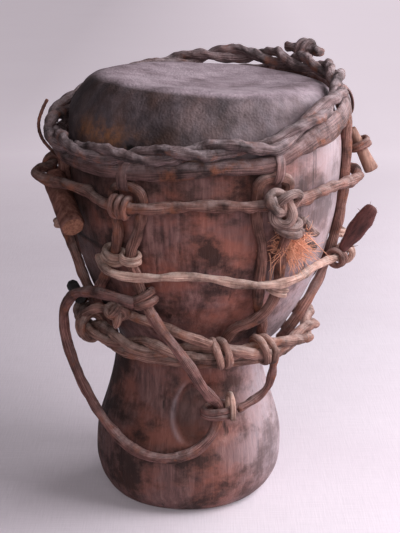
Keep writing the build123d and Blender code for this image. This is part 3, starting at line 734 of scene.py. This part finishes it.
# Carrying strap: the two free cords
strap_leg = laid(FRONT_LEGS["front_left"][1][-2:])
strap_way = unit(strap_leg[1] - strap_leg[0])
DIAGONAL_ROUTE = [
    strap_leg[1] + strap_way * 0.2, strap_leg[1] + strap_way * 9, (-11.0, -94.5, 143.0),
    (-4.0, -97.8, 134.5), (3.0, -97.5, 124.0), (8.2, -93.5, 113.0), (12.6, -85.0, 103.5),
    (17.0, -74.0, 94.5), (20.5, -66.0, 87.5), (21.8, -63.8, 81.5),
]
LOOP_ROUTE = [
    (21.9, -63.4, 79.0), (20.5, -63.5, 70.0), (14.0, -66.5, 59.5), (3.5, -69.5, 51.5),
    (-10.0, -70.5, 48.0), (-25.5, -67.5, 48.0), (-41.0, -60.5, 53.0), (-54.5, -52.5, 64.5),
    (-66.0, -47.5, 80.0), (-76.0, -43.5, 100.0), (-83.0, -40.5, 120.0), (-86.0, -39.0, 137.0),
    (-84.0, -43.0, 152.0), (-75.5, -53.5, 163.5), (-61.0, -69.0, 168.5), (-46.0, -81.0, 168.0),
    (-34.7, -87.6, 166.2),
]
for name, route, lay, body, seed in (
        ("diagonal_strap", DIAGONAL_ROUTE, "taut", "drum", 21),
        ("carry_loop", LOOP_ROUTE, "hanging", "carry_loop", 22)):
    line = spline(route)
    strap = dress(name, [rope(line, THONG, seed, twist=85, oval=0.1)], STRAP, body)

# Wooden shell, carved from one log
SEGMENTS = 240
FOOT_EDGE = 4
RIM_EDGE = 292
SHELL_TOP = 299.9
RIM_ROUNDING = 8.0
WAIST_BLEND = 14
SCOOP_DEPTH = 4.2
SCOOP_LIP = 0.9
SCOOP_TURN = -9.0
SCOOP_MIDDLE = 76
SCOOP_HALF = 18
LIP_BEND = 6.0
LIP_SPOT = -1.3
LEDGE_HEIGHT = WAIST + 81
LEDGE_DEPTH = 0.9
around = np.arange(SEGMENTS) * 360 / SEGMENTS


def shell_outside(z):
    """Ring of the shell's outside, where foot and bowl run into each other at the waist."""
    foot = polar(around, foot_radius(min(z, WAIST)), z)
    height = max(z - WAIST, 0.0)
    near_top = max(0.0, height - (BOWL_TOP - RIM_ROUNDING))
    inset = RIM_ROUNDING * (1 - math.sqrt(max(0.0, 1 - (near_top / RIM_ROUNDING) ** 2)))
    bowl = from_bowl(polar(around, bowl_radius(height) - inset, z - WAIST))
    share = smooth(WAIST - WAIST_BLEND, WAIST + WAIST_BLEND, z)
    return foot * (1 - share) + bowl * share


outside = np.array([shell_outside(z) for z in np.concatenate([
    np.linspace(0, FOOT_EDGE, 6)[:-1], np.linspace(FOOT_EDGE, RIM_EDGE, 190),
    np.linspace(RIM_EDGE, SHELL_TOP, 9)[1:]])])
level = outside[..., 2]
swing = half_turned(np.broadcast_to(around, level.shape))
inward = swing - (SCOOP_TURN + LIP_BEND * ((level - SCOOP_MIDDLE) / SCOOP_HALF) ** 2)
lip_span = smooth(55, 61, level) * (1 - smooth(92, 100, level))
scoop = smooth(0, 2.2, inward) * (1 - smooth(9, 46, inward)) * lip_span
foot_share = 1 - smooth(WAIST - 30, WAIST + 10, level)
press = -SCOOP_DEPTH * scoop + SCOOP_LIP * bump_at(inward, LIP_SPOT, 1.8) * lip_span
press = press + (0.4 + 0.5 * foot_share) * lumps(outside, 34, 3) + 0.2 * lumps(outside * [1, 1, 0.5], 9, 4)
ledge = LEDGE_HEIGHT + 3.0 * np.sin(np.radians(swing * 4)) - level
ledge_span = smooth(-84, -74, swing) * (1 - smooth(-44, -38, swing))
press = press + LEDGE_DEPTH * smooth(-0.6, 0.6, ledge) * (1 - smooth(14, 30, ledge)) * ledge_span
# Painted shadow along the underside of the ledge.
shadow_under_ledge = bump_at(ledge, -1.0, 1.1) * ledge_span
press = press * smooth(0, 5, level)
middle = np.stack([np.interp(level, [0, 90, 300], [0, 3, 15]), 0 * level, level], -1)
outside = outside + unit(outside - middle) * press[..., None]

inner_profile = [(RIM - WALL, BOWL_TOP), (BELLY - WALL, BELLY_HEIGHT), (bowl_radius(70) - WALL, 70),
                 (bowl_radius(30) - 1.5 * WALL, 30), (THROAT + 2, BOWL_FLOOR)]
inner_bowl = np.array([from_bowl(polar(around, radius, height)) for radius, height in inner_profile])
inner_foot = np.array([polar(around, radius, z) for radius, z in
                       ((THROAT, WAIST + 8), (THROAT, FOOT_CAVITY), (FOOT_MOUTH, 0.0))])
shell_rings = np.concatenate([outside, inner_bowl, inner_foot])
# Mask of dust and painted highlight: a little dust all round, with the right side towards the window lamp
# and the scoop's lip painted paler as sheen.
dust_and_highlight = (0.6 * smooth(16, 70, swing) * (1 - smooth(95, 150, swing)) + 0.05) * (1 - 0.6 * scoop)
dust_and_highlight = dust_and_highlight + 0.35 * bump_at(inward, LIP_SPOT, 1.6) * lip_span
# Painted shade, in the stain mask: darker on the foot's front and left, on the bowl's left away from the
# window lamp, under the ledge, and inside the scoop right of its lip.
foot_shade = 0.3 * foot_share * (1 - smooth(0, 50, swing))
left_shade = 0.62 * smooth(-34, -62, swing) * (1 - foot_share)
scoop_shade = 0.3 * scoop * bump_at(inward, 6, 8)
stain_and_shade = np.clip(scoop_shade + 0.5 * shadow_under_ledge + left_shade + foot_shade, 0, 1)
inside_rows = ((0, len(shell_rings) - len(outside)), (0, 0))
dress("shell", [stack(shell_rings, True, np.arange(len(shell_rings) + 1), 400)], WOOD,
      masks={"dust_and_highlight": np.pad(dust_and_highlight, inside_rows), "stain_and_shade": np.pad(stain_and_shade, inside_rows)})

# Hide head, drawn over the rim
SKIN_SEGMENTS = 300
SKIN_OVER = 2.4
SKIN_DISH = 3.4
SKIN_FLAT = 60.0
SKIN_BREAK = 7.0
skin_around = np.arange(SKIN_SEGMENTS) * 360 / SKIN_SEGMENTS
skin_edge = hem_height(skin_around) + 3.0
skin_top = BOWL_TOP + SKIN_OVER - 0.6
start_height = BOWL_TOP - SKIN_BREAK
rim_end = on_bowl(90.0, start_height, SKIN_OVER)[[0, 2]]
rim_fall = unit(on_bowl(90.0, start_height - 0.5, SKIN_OVER)[[0, 2]] - rim_end)
rim_curve = np.array([
    (SKIN_FLAT, skin_top), (74.0, BOWL_TOP + SKIN_OVER + 0.4), rim_end - rim_fall * 9.0, rim_end])
skin_rings = []
for share in np.linspace(0.012, 1, 36):
    skin_rings.append(polar(skin_around, SKIN_FLAT * share, skin_top - SKIN_DISH * (1 - share ** 2)))
for t in np.linspace(0.05, 1, 22):
    weights = np.array([(1 - t) ** 3, 3 * t * (1 - t) ** 2, 3 * t * t * (1 - t), t ** 3])
    skin_rings.append(polar(skin_around, *(weights @ rim_curve)))
for share in np.linspace(0.025, 1, 44):
    height = start_height + (skin_edge - start_height) * share
    skin_rings.append(on_bowl(skin_around, np.minimum(height, start_height), SKIN_OVER))
skin_rings = np.array(skin_rings)
spin = half_turned(np.broadcast_to(skin_around, skin_rings.shape[:2]))
rank = np.arange(len(skin_rings))[:, None]
tall = skin_rings[..., 2]
rim_share = np.hypot(skin_rings[..., 0], skin_rings[..., 1]) / RIM
push = 0.5 * lumps(skin_rings, 24, 31) + 0.22 * lumps(skin_rings, 9, 32)
push = push - 2.2 * bump_at(spin, 22, 13) * bump_at(tall, BOWL_TOP - 14, 7)
push = push + 3.4 * bump_at(spin, -102, 34) * bump_at(tall, BOWL_TOP - 22, 13)
push = push * smooth(0, 0.3, rim_share) * (1 - 0.7 * smooth(80, 103, rank))
skin_out = unit(skin_rings - np.array([0, 0, BOWL_TOP - 60]))
skin_rings = skin_rings + skin_out * push[..., None]
front = bump_at(spin, -35, 75) * smooth(-1, 3, BOWL_TOP + 1.5 - tall)
stain_and_shade = np.clip(1.3 * front * smooth(0.72, 0.92, rim_share), 0, 1)
left_wear = bump_at(spin, -48, 16) * bump_at(tall, 156, 9)
wear = np.clip(left_wear + 0.5 * bump_at(spin, -10, 9) * bump_at(tall, 150, 5), 0, 1)
# Painted shade: a small hole in the hide, drawn as a near-black spot.
painted_hole_shade = smooth(0.35, 0.6, bump_at(spin, -31, 2.4) * bump_at(tall, 151, 2.6))
dress("drumhead", [stack(from_bowl(skin_rings), False, np.arange(len(skin_rings)), 500)], SKIN,
      masks={"stain_and_shade": stain_and_shade, "wear": wear, "painted_hole_shade": painted_hole_shade})

# Rings of the head: the roll that the hide's edge is turned round, and the twisted braid above it
turn_around = np.arange(0, 360, 0.75)
hem_line = on_bowl(turn_around, hem_height(turn_around), HEM_LIFT)
hem_out = turned(on_bowl(turn_around, hem_height(turn_around), HEM_LIFT + 1) - hem_line)
band = smooth(30, 46, turn_around) * (1 - smooth(84, 104, turn_around))
shares = turn_around / 360
dress("head_hem_roll", [rope(
    from_bowl(hem_line), 5.0, 41, True, hem_out, (shares, 1 - 0.35 * band), (shares, 1.05 + 0.45 * band),
    twist=130, groove=0.1, rough=0.07, sides=28)], HEM)


STRAND_POINTS = 700
STRAND_GAP = 0.4
SWELL_POINTS = 60
LOOP_POINTS = 48
KNOT_POINTS = 160


def twisted(start, height_at, lift_at, arm, twists, phase, uneven, seed):
    """Line of one strand of a two-strand twist once round the bowl."""
    azimuth = start + np.linspace(STRAND_GAP, 360 - STRAND_GAP, STRAND_POINTS)
    middle = on_bowl(azimuth, height_at(azimuth), lift_at(azimuth))
    out = on_bowl(azimuth, height_at(azimuth), lift_at(azimuth) + 1) - middle
    along = np.stack([-np.cos(np.radians(azimuth)), -np.sin(np.radians(azimuth)), 0 * azimuth], -1)
    across = np.cross(out, along)
    wave = uneven * np.sin(np.radians(azimuth * 3 + seed * 50))
    wave = wave + 0.6 * uneven * np.sin(np.radians(azimuth * 7 + seed * 90))
    turn = TURN * twists * (azimuth - start) / 360 + phase + wave
    return from_bowl(middle + out * (arm * np.cos(turn))[:, None] + across * (arm * np.sin(turn))[:, None])


def uneven_swell(seed, share):
    """Thick and thin places along a strand."""
    uneven = np.random.default_rng(seed).uniform(-1, 1, SWELL_POINTS)
    return np.linspace(0, 1, SWELL_POINTS), 1 + share * uneven


BRAID_PHASE = math.radians(12)
for name, phase, seed in (
        ("head_braid_strand_a", BRAID_PHASE, 43), ("head_braid_strand_b", BRAID_PHASE + math.pi, 44)):
    strand = twisted(REAR_AZIMUTH, braid_height, braid_lift, 3.1, 8, phase, 0.2, 1)
    dress(name, [rope(strand, 3.75, seed, twist=34, groove=0.24, rough=0.1, oval=0.14,
                      swell=uneven_swell(seed, 0.13))], BRAID)
rear = spline(laid([(REAR_AZIMUTH + turn, braid_height(REAR_AZIMUTH + turn), REAR_LIFT)
                    for turn in (-11, -6, 0, 6, 11)]))
rear_way = unit(rear[-1] - rear[0])
rear_out = facing(REAR_AZIMUTH)
rear_side = unit(np.cross(rear[-1] - rear[0], rear_out))
rear_parts = [rope(rear, 3.8, 48, twist=30, groove=0.25, oval=0.16, rough=0.12)]
turn = circle(LOOP_POINTS)[:, None]
for i, offset in enumerate((-3.2, 2.6)):
    spot = rear[len(rear) // 2] + rear_way * offset
    ring = spot + 5.4 * (rear_out * np.cos(turn) + rear_side * np.sin(turn)) + rear_way * np.sin(turn)
    rear_parts.append(rope(ring, 2.5, 58 + i, True, twist=24))
dress("rear_knot", rear_parts, BRAID)

# Lacing: each pair is one thong, linked to the hem and led down to the belt
CROWN_FALL = 13
LEG_STEP = 26
LEG_TURN = 102


def crown(azimuth):
    """Stations of a pair's top, from its left leg to its right one."""
    top = float(hem_height(azimuth)) - CROWN_DROP
    left = azimuth - LEG_SPREAD
    right = azimuth + LEG_SPREAD
    return [(left, top - CROWN_FALL, LEG_LIFT), (left, top, CROWN_LIFT),
            (right, top, CROWN_LIFT), (right, top - CROWN_FALL, LEG_LIFT)]


def plain_leg(azimuth, side, top, turn_lift):
    """Stations of a leg from its crown down to the belt, towards which it spreads."""
    near = azimuth + side * LEG_SPREAD
    count = max(1, math.ceil((top - LEG_TURN) / LEG_STEP))
    upper = [(near, top + (LEG_TURN - top) * i / count, LEG_LIFT) for i in range(1, count + 1)]
    return upper + [
        (near - side * 1.2, 82, turn_lift), (near, 64, LEG_LIFT + 1),
        (azimuth + side * 13, 44.75, LEG_LIFT), (azimuth + side * 17.5, 36.8, LEG_LIFT),
        (azimuth + side * LEG_FLARE, 21, LEG_LIFT), (azimuth + side * LEG_FLARE, 10, LEG_LIFT),
    ]


def winding(centre, axis, side, reach, depth, radius, seed, offsets, lean, twist=24, sides=14, **looks):
    """Turns of thin thong side by side round an axis, each a closed loop."""
    axis = unit(axis)
    side = unit(side - axis * np.dot(side, axis))
    other = np.cross(axis, side)
    turn = circle(LOOP_POINTS)
    loop = side * (reach * np.cos(turn))[:, None]
    rise = other * (depth * np.sin(turn))[:, None]
    made = []
    for i, offset in enumerate(offsets):
        line = centre + axis * offset + loop + rise + axis * (lean * np.sin(turn + i))[:, None]
        made.append(rope(line, radius, seed + i, True, twist=twist, sides=sides, **looks))
    return made


def wraps(line, spot, *settings, **looks):
    """Turns of thong round a line where it comes nearest to a spot."""
    near = int(np.argmin(np.linalg.norm(line - spot, axis=1)))
    near = min(max(near, 2), len(line) - 3)
    return winding(line[near], line[near + 2] - line[near - 2], *settings, **looks)


def overhand(centre, side, up, out, size, depth, radius, seed):
    """Overhand knot, seen along out: its three lobes are drawn tight round its middle."""
    turn = circle(KNOT_POINTS)
    sideways = (np.sin(turn) + 2 * np.sin(2 * turn))[:, None]
    upward = (np.cos(turn) - 2 * np.cos(2 * turn))[:, None]
    line = centre + size / 3 * (side * sideways + up * upward)
    line = line - out * (depth * np.sin(3 * turn))[:, None]
    return rope(line, radius, seed, True, np.tile(out, (KNOT_POINTS, 1)), twist=30, groove=0.2, rough=0.09)


FINE_STEP = 1.1
lacing_lines = {}
for seed, (name, azimuth) in enumerate(PAIRS.items()):
    top = crown(azimuth)
    if name in FRONT_LEGS:
        left_leg, right_leg = FRONT_LEGS[name]
    else:
        left_leg = plain_leg(azimuth, -1, top[0][1], LEG_LIFT)
        right_leg = plain_leg(azimuth, 1, top[0][1], KEEPER_LIFT)
    stations = left_leg[::-1] + top + right_leg
    line = spline(laid(stations))
    lacing_lines[name] = (stations, line)
    laces = [rope(line, THONG, 60 + seed, twist=48, groove=0.2, rough=0.08)]
    if name == "front_left":
        laces += wraps(line, LOOP_ROUTE[-1], facing(azimuth + 90), 6.2, 6.2, 2.7, 55, (-2.4, 2.6), 0.8,
                       step=FINE_STEP)
    dress("lacing_" + name, laces, LACE)

# Belt: a twisted pair and a lower strand, with a loose strand, a knot and wraps tied round it
loose = spline(laid([
    (6, 31, 16), (-4, 33, 13), (-14, 35, 9.5), (-28, 38, 8.5), (-42, 40.5, 9.5), (-52, 40, 12.5),
    (-60, 36, 15.5), (-67, 30, 18.5)]))
knot_tail = spline(laid([(-37, 45, 19), (-33.5, 49, 19), (-31.5, 54, 18)]))
belt_extras = {
    "belt_strand_a": [
        rope(loose, 3.4, 51, twist=40, groove=0.22, rough=0.1),
        overhand(spot_at(-37, 43, 15), *bowl_axes(-37), 7.5, 2.6, 2.4, 52),
        rope(knot_tail, 2.5, 53, twist=26, ends=(0.5, 0.25)),
    ],
    "belt_strand_b": [],
}
for place, seed in ((11.0, 54), (33.0, 57), (-64.0, 48)):
    belt_extras["belt_strand_b"] += winding(
        spot_at(place, BELT_HEIGHT, BELT_LIFT), facing(place + 90), facing(place), 8.3, 8.5, 2.7, seed,
        (-2.2, 2.0), 3.2, groove=0.22, rough=0.1)
for name, phase, seed in (("belt_strand_a", 0.0, 45), ("belt_strand_b", math.pi, 46)):
    strand = twisted(180.0, lambda azimuth: BELT_HEIGHT, lambda azimuth: BELT_LIFT, 3.6, 6, phase, 0.4, 2)
    belt = rope(strand, 3.7, seed, twist=40, groove=0.22, rough=0.1, swell=uneven_swell(seed, 0.12))
    dress(name, [belt] + belt_extras[name], BELT)
belt_wave = 0.8 * np.sin(np.radians(turn_around * 2))
belt_lower = spot_at(turn_around, BELT_LOWER_HEIGHT + belt_wave, BELT_LOWER_LIFT)
dress("belt_lower_strand", [rope(belt_lower, 3.5, 47, True, twist=50, rough=0.09)], BELT)

for seed, (name, azimuth) in enumerate(PAIRS.items()):
    hem_spot = spot_at(azimuth, hem_height(azimuth), HEM_LIFT)
    crown_spot = spot_at(azimuth, hem_height(azimuth) - CROWN_DROP, CROWN_LIFT)
    up = hem_spot - crown_spot
    dress("head_link_" + name, winding(
        (hem_spot + crown_spot) / 2 + unit(up) * 1.0, facing(azimuth + 90), unit(up),
        np.linalg.norm(up) / 2 + 4.6, 5.7, 1.15, 80 + 5 * seed, (0.0,), 0.3, twist=400, groove=0.1,
        wide=3.2, deep=0.85, sides=16, step=FINE_STEP), HEM)


def set_out(azimuths, heights, lifts, before, after):
    """Control points of a thong round the bowl, set out so that its runs keep their distance."""
    grow = 1 / np.cos(np.radians(np.maximum(before, after)) / 2)
    return on_bowl(azimuths, heights, lifts) * np.stack([grow, grow, np.ones_like(grow)], -1)


# Thongs round the bowl
JOIN_AZIMUTH = 150
upper_lifts = {
    (azimuth + side) % 360: THONG_OVER for azimuth in PAIRS.values() for side in (-TIE_SPREAD, TIE_SPREAD)}
ordered = sorted(azimuth % 360 for azimuth in PAIRS.values())
for before, after in zip(ordered, ordered[1:] + [ordered[0] + 360]):
    upper_lifts[((before + after) / 2) % 360] = LEG_LIFT
upper_lifts.pop(((PAIRS["left"] + PAIRS["front_left"] + 360) / 2) % 360)
upper_lifts.update({276.0: PEG_LIFT, 288.0: PEG_LIFT, 307.0: LEG_LIFT + 1})
upper_stations = np.array(sorted(upper_lifts))
upper_gaps = np.diff(np.append(upper_stations, upper_stations[0] + 360))
upper_points = set_out(
    upper_stations, upper_height(upper_stations), [upper_lifts[azimuth] for azimuth in upper_stations],
    np.roll(upper_gaps, 1), upper_gaps)
first = np.argmax(upper_stations > JOIN_AZIMUTH)
points = np.roll(upper_points, -first - 1, 0)
join = (points[-1] + points[0]) / 2
upper_line = spline(from_bowl(np.vstack([join, points, join])))
upper_thong = rope(upper_line, THONG, 90, twist=64, groove=0.2, oval=0.16, rough=0.1)
dress("upper_thong", [upper_thong], LACE)
lower_azimuths, lower_lifts = np.array([
    (-48.0, LOWER_REST), (-38.0, LOWER_OVER), (-22.0, LOWER_OVER), (-2.25, LOWER_REST), (17.5, LOWER_OVER),
    (33.5, LOWER_OVER), (58.75, LOWER_REST), (84.0, LOWER_END), (92.0, LOWER_END)]).T
lower_gaps = np.diff(lower_azimuths)
lower_points = set_out(
    lower_azimuths, LOWER_HEIGHT, lower_lifts, np.append(0, lower_gaps), np.append(lower_gaps, 0))
lower_line = spline(from_bowl(lower_points))
lower_parts = [rope(lower_line, LOWER_RADIUS, 91, twist=64, oval=0.14, rough=0.08)]
lower_parts += wraps(
    lacing_lines["front_left"][1], spot_at(-39.0, 80, LEG_LIFT), facing(-39 + 90), 6.2, 6.2, 2.5, 92,
    (-2.4, 2.4), 0.8, step=FINE_STEP)
lower_parts += wraps(
    lower_line, lower_line[-8], facing(90), 5.4, 5.4, 2.4, 96, (-3.0, 1.5), 0.8, step=FINE_STEP)
dress("lower_thong", lower_parts, PALE)

# Ties of the pairs to the upper thong, and keepers round their legs
for seed, (name, azimuth) in enumerate(PAIRS.items()):
    if name != "right":
        first = list(upper_stations).index((azimuth - TIE_SPREAD) % 360)
        start, end = upper_points[first], upper_points[(first + 1) % len(upper_points)]
        spot = from_bowl((start + end) / 2)
        side, up, out = bowl_axes(azimuth)
        turns = winding(spot, turned(end - start), out, 5.9, 5.9, 2.2, 110 + 5 * seed, (-4.4, 0.1, 4.5), 0.9,
                        twist=20, step=FINE_STEP)
        if name == "front_right":
            turns.append(overhand(spot + out * 4.5 + side * 1.0, side, up, out, 12.0, 3.6, 3.3, 108))
        dress("tie_" + name, turns, KNOT if name == "front_right" else LACE)
    stations, line = lacing_lines[name]
    held = next(station for station in stations if station[2] == KEEPER_LIFT)
    dress("keeper_" + name, wraps(
        line, spot_at(*held), facing(azimuth + 90), 5.9, 5.6, 1.8, 150 + 5 * seed, (-1.5, 1.5), 0.5,
        twist=20, sides=12, step=FINE_STEP), PALE)

# Knot on the front right pair, its tails and frayed end, and the hide tab at the right
dress("front_knot", wraps(
    lacing_lines["front_right"][1], spot_at(31.6, 107, KNOT_LIFT), facing(121.6), 6.8, 6.6, 2.9, 200,
    (-2.9, 2.4), 1.9, twist=30, sides=16), KNOT)
for name, seed, stations in (
        ("front_knot_tail_upper", 210, [
            (38.2, 124.5, 10.5), (42.0, 121.5, TAIL_LIFT + 2), (46.0, 117, TAIL_LIFT - 0.6),
            (49.5, 113, TAIL_LIFT - 0.6), (52.0, 110, TAIL_LIFT + 1)]),
        ("front_knot_tail_lower", 211, [
            (37.9, 117.5, 10.0), (41.8, 113, TAIL_LIFT + 1), (45.5, 108.5, TAIL_LIFT - 0.6),
            (49.5, 104.5, TAIL_LIFT - 0.6), (52.5, 101, TAIL_LIFT + 1)])):
    tail = spline(laid(laced_points(stations)))
    dress(name, [rope(tail, 2.5, seed, twist=26, oval=0.16)], KNOT)
TUFT = 340
dice = np.random.default_rng(220)
tuft_azimuth = 36.6 + dice.normal(0, 3.0, TUFT)
tuft_height = 93.5 + dice.uniform(-7, 9, TUFT)
tuft_root = spot_at(tuft_azimuth, tuft_height, dice.uniform(1.2, 6.0, TUFT))
tuft_way = unit(turned(polar(30.0, 0.6, -0.6)) + 0.62 * dice.normal(size=(TUFT, 3)))
tuft = wisps(tuft_root, tuft_way, dice.uniform(6, 12, TUFT), 0.5, 1.3, 221, 0.1)
dress("frayed_tuft", tuft, FIBRE)

KNOT_AZIMUTH = 73.5
KNOT_RUN = 6
TAB_HAIRS = 160
TAB_LENGTH = 33
TAB_POINTS = 12
share = (KNOT_AZIMUTH - lower_azimuths[KNOT_RUN]) / lower_gaps[KNOT_RUN]
side_along = lower_points[KNOT_RUN + 1] - lower_points[KNOT_RUN]
side_middle = lower_points[KNOT_RUN] + side_along * share
dress("side_knot", winding(
    from_bowl(side_middle), turned(side_along), facing(KNOT_AZIMUTH), 5.6, 5.6, 2.0, 230, (-2.0, 1.6),
    0.8), LACE)
tab_way = unit(polar(KNOT_AZIMUTH, 0.5, 0.87))
tab_start = from_bowl(side_middle + tab_way * 9.2)
tab_way = turned(tab_way)
tab_side = facing(KNOT_AZIMUTH + 90)
tab_out = np.cross(tab_way, tab_side)
tab_line = tab_start + tab_way * np.linspace(0, TAB_LENGTH, TAB_POINTS)[:, None]
tab = rope(tab_line, 6.2, 240, outs=np.tile(tab_side, (TAB_POINTS, 1)), deep=0.34,
           wide=([0, 0.35, 0.75, 1], [0.55, 0.9, 1.1, 0.7]), twist=300, groove=0.05, rough=0.08)
roots = tab_start + tab_way * dice.uniform(1, TAB_LENGTH, (TAB_HAIRS, 1))
roots = roots + tab_out * dice.uniform(-4.2, 4.2, (TAB_HAIRS, 1))
roots = roots + tab_side * dice.uniform(-1.6, 1.6, (TAB_HAIRS, 1))
ways = unit(tab_way * 0.8 + 0.35 * dice.normal(size=(TAB_HAIRS, 3)))
hairs = wisps(roots, ways, dice.uniform(3, 6, TAB_HAIRS), 0.3, 0.3, 241)
dress("hide_tab", [tab] + hairs, HAIR)
side_line = spline(laid([
    (-84, 162, 21.5), (-86, 151, 24.8), (-88, 141, 22.3), (-90, 133.5, 17.0), (-91.2, 127.5, 10.8)]))
side_cord = rope(side_line, 1.2, 250, twist=10, groove=0.25, sides=12, step=0.9)
dress("side_cord", [side_cord], LACE)

# Strap knot on the foot
EYE_AZIMUTH = 19.1
eye_middle = np.array([22.0, -63.4, 80.8])
eye_side = polar(EYE_AZIMUTH + 90, 1.0, 0.0)
eye_out = polar(EYE_AZIMUTH, 1.0, 0.0)
upward = np.array([0, 0, 1.0])
dress("strap_eye", winding(eye_middle, upward, eye_side, 11.0, 6.9, 2.5, 260, (-1.2, 2.4), 0.9,
                           sides=16), STRAP)
bight = [eye_middle + eye_side * side + eye_out * out + upward * up for side, out, up in (
    (6.3, 0, -5), (6.3, 0, 5), (6.6, 0, 13), (6.6, 8.0, 13), (6.3, 10.1, 5), (6.3, 10.1, -3))]
dress("strap_bight", [rope(spline(bight), 2.0, 262, twist=20, sides=14, step=1.0)], PALE)
strap_tail = [(59.5, -58.2, 118.8), (59.0, -54.5, 107.0), (57.0, -52.0, 96.5), (52.5, -50.5, 89.0),
              (46.5, -52.0, 85.0), (41.5, -55.0, 82.5), (35.6, -59.2, 80.9)]
dress("strap_tail", [rope(spline(strap_tail), 3.0, 263, twist=36, oval=0.14)], STRAP)


# Wooden pegs
def stick(start, end, radii, seed, facets):
    """Whittled stick with flats along it and cut ends."""
    length = np.linalg.norm(end - start)
    marks = np.concatenate([[0, 0.012, 0.03], np.linspace(0.06, 0.94, 30), [0.97, 0.988, 1]])
    axis = (end - start) / length
    side = unit(np.cross(axis, [0.2, 0.9, 0.4]))
    other = np.cross(axis, side)
    theta = circle(40)
    edge = np.clip(np.minimum(marks, 1 - marks) / 0.03, 0, 1)
    radius = np.interp(marks, [0, 1], radii) * (0.86 + 0.14 * np.sqrt(edge))
    flats = 1 - 0.05 * np.abs(np.sin(facets * theta / 2 + 0.6))
    line = start + axis * (length * marks)[:, None]
    rings = line[:, None] + (radius[:, None] * flats)[..., None] * (
        side * np.cos(theta)[None, :, None] + other * np.sin(theta)[None, :, None])
    grown = lumps(rings, 14, seed)[..., None] * 0.022 + lumps(rings, 5, seed + 1)[..., None] * 0.012
    rings = line[:, None] + (rings - line[:, None]) * (1 + grown)
    return stack(rings, False, marks * length, TURN * radii[0], seed)


TOGGLE_HALF = 23
TOGGLE_AZIMUTH = 12.0
peg_half = (on_bowl(-84.0, 115.0, PEG_SEAT) - on_bowl(-57.0, 92.0, PEG_SEAT)) / 2
peg_middle = on_bowl(-70.5, 103.5, PEG_SEAT)
left_peg = stick(from_bowl(peg_middle - peg_half), from_bowl(peg_middle + peg_half), (8.5, 8.5), 300, 7)
dress("left_peg", [left_peg], PEG, "left_peg", ends=PEG_END)
right_top = spot_at(92.0, 155.0, 9.2)
right_bottom = spot_at(92.0, 128.0, 23.8)
right_peg = stick(right_bottom, right_top, (5.5, 3.0), 310, 6)
dress("right_peg", [right_peg], PALE_PEG, "right_peg", ends=PEG_END)
dress("right_peg_loop", winding(
    right_bottom + (right_top - right_bottom) * 0.62, right_top - right_bottom, facing(182.0), 6.8, 6.8, 1.9,
    320, (-1.6, 1.6), 0.5), LACE)
toggle_middle = spot_at(-78.0, 40.0, 13.5)
toggle_half = unit(polar(TOGGLE_AZIMUTH, 1.0, 0.1)) * TOGGLE_HALF
toggle = stick(toggle_middle - toggle_half, toggle_middle + toggle_half, (4.5, 4.3), 330, 8)
dress("waist_toggle", [toggle], BLACK, "waist_toggle", ends=BLACK)

# Wide flat cloth floor, soft studio light
FLOOR_REACH = 14.0
corners = [(x * FLOOR_REACH, y * FLOOR_REACH, 0.0) for x, y in ((-1, -1), (1, -1), (1, 1), (-1, 1))]
floor_mesh = bpy.data.meshes.new("floor")
floor_mesh.from_pydata(corners, [], [(0, 1, 2, 3)])
floor_mesh.materials.append(CLOTH)
show("floor", floor_mesh)
LAMP_TARGET = np.array([0, 0, 0.16])


def lamp(name, place, size, power, colour):
    data = bpy.data.lights.new(name, "AREA")
    data.shape = "RECTANGLE"
    data.size, data.size_y = size
    data.energy = power
    data.color = colour
    obj = show(name, data)
    obj.location = place
    way = LAMP_TARGET - np.array(place)
    obj.rotation_euler = (math.atan2(math.hypot(way[0], way[1]), -way[2]), 0, math.atan2(-way[0], way[1]))


lamp("window", (0.66, -0.26, 0.62), (0.62, 0.75), 10.6, (1.0, 0.97, 1.0))
lamp("side_window", (0.75, 0.5, 0.45), (0.7, 0.7), 6.0, (1.0, 0.97, 1.0))
lamp("front_fill", (-0.1, -1.3, 0.6), (0.8, 0.8), 5.2, (1.0, 0.96, 0.97))
world = bpy.data.worlds.new("studio")
world.use_nodes = True
sky = world.node_tree.nodes["Background"].inputs
sky["Color"].default_value = (0.9, 0.86, 0.9, 1)
sky["Strength"].default_value = 0.1
bpy.context.scene.world = world
bpy.context.scene.view_settings.view_transform = "Standard"
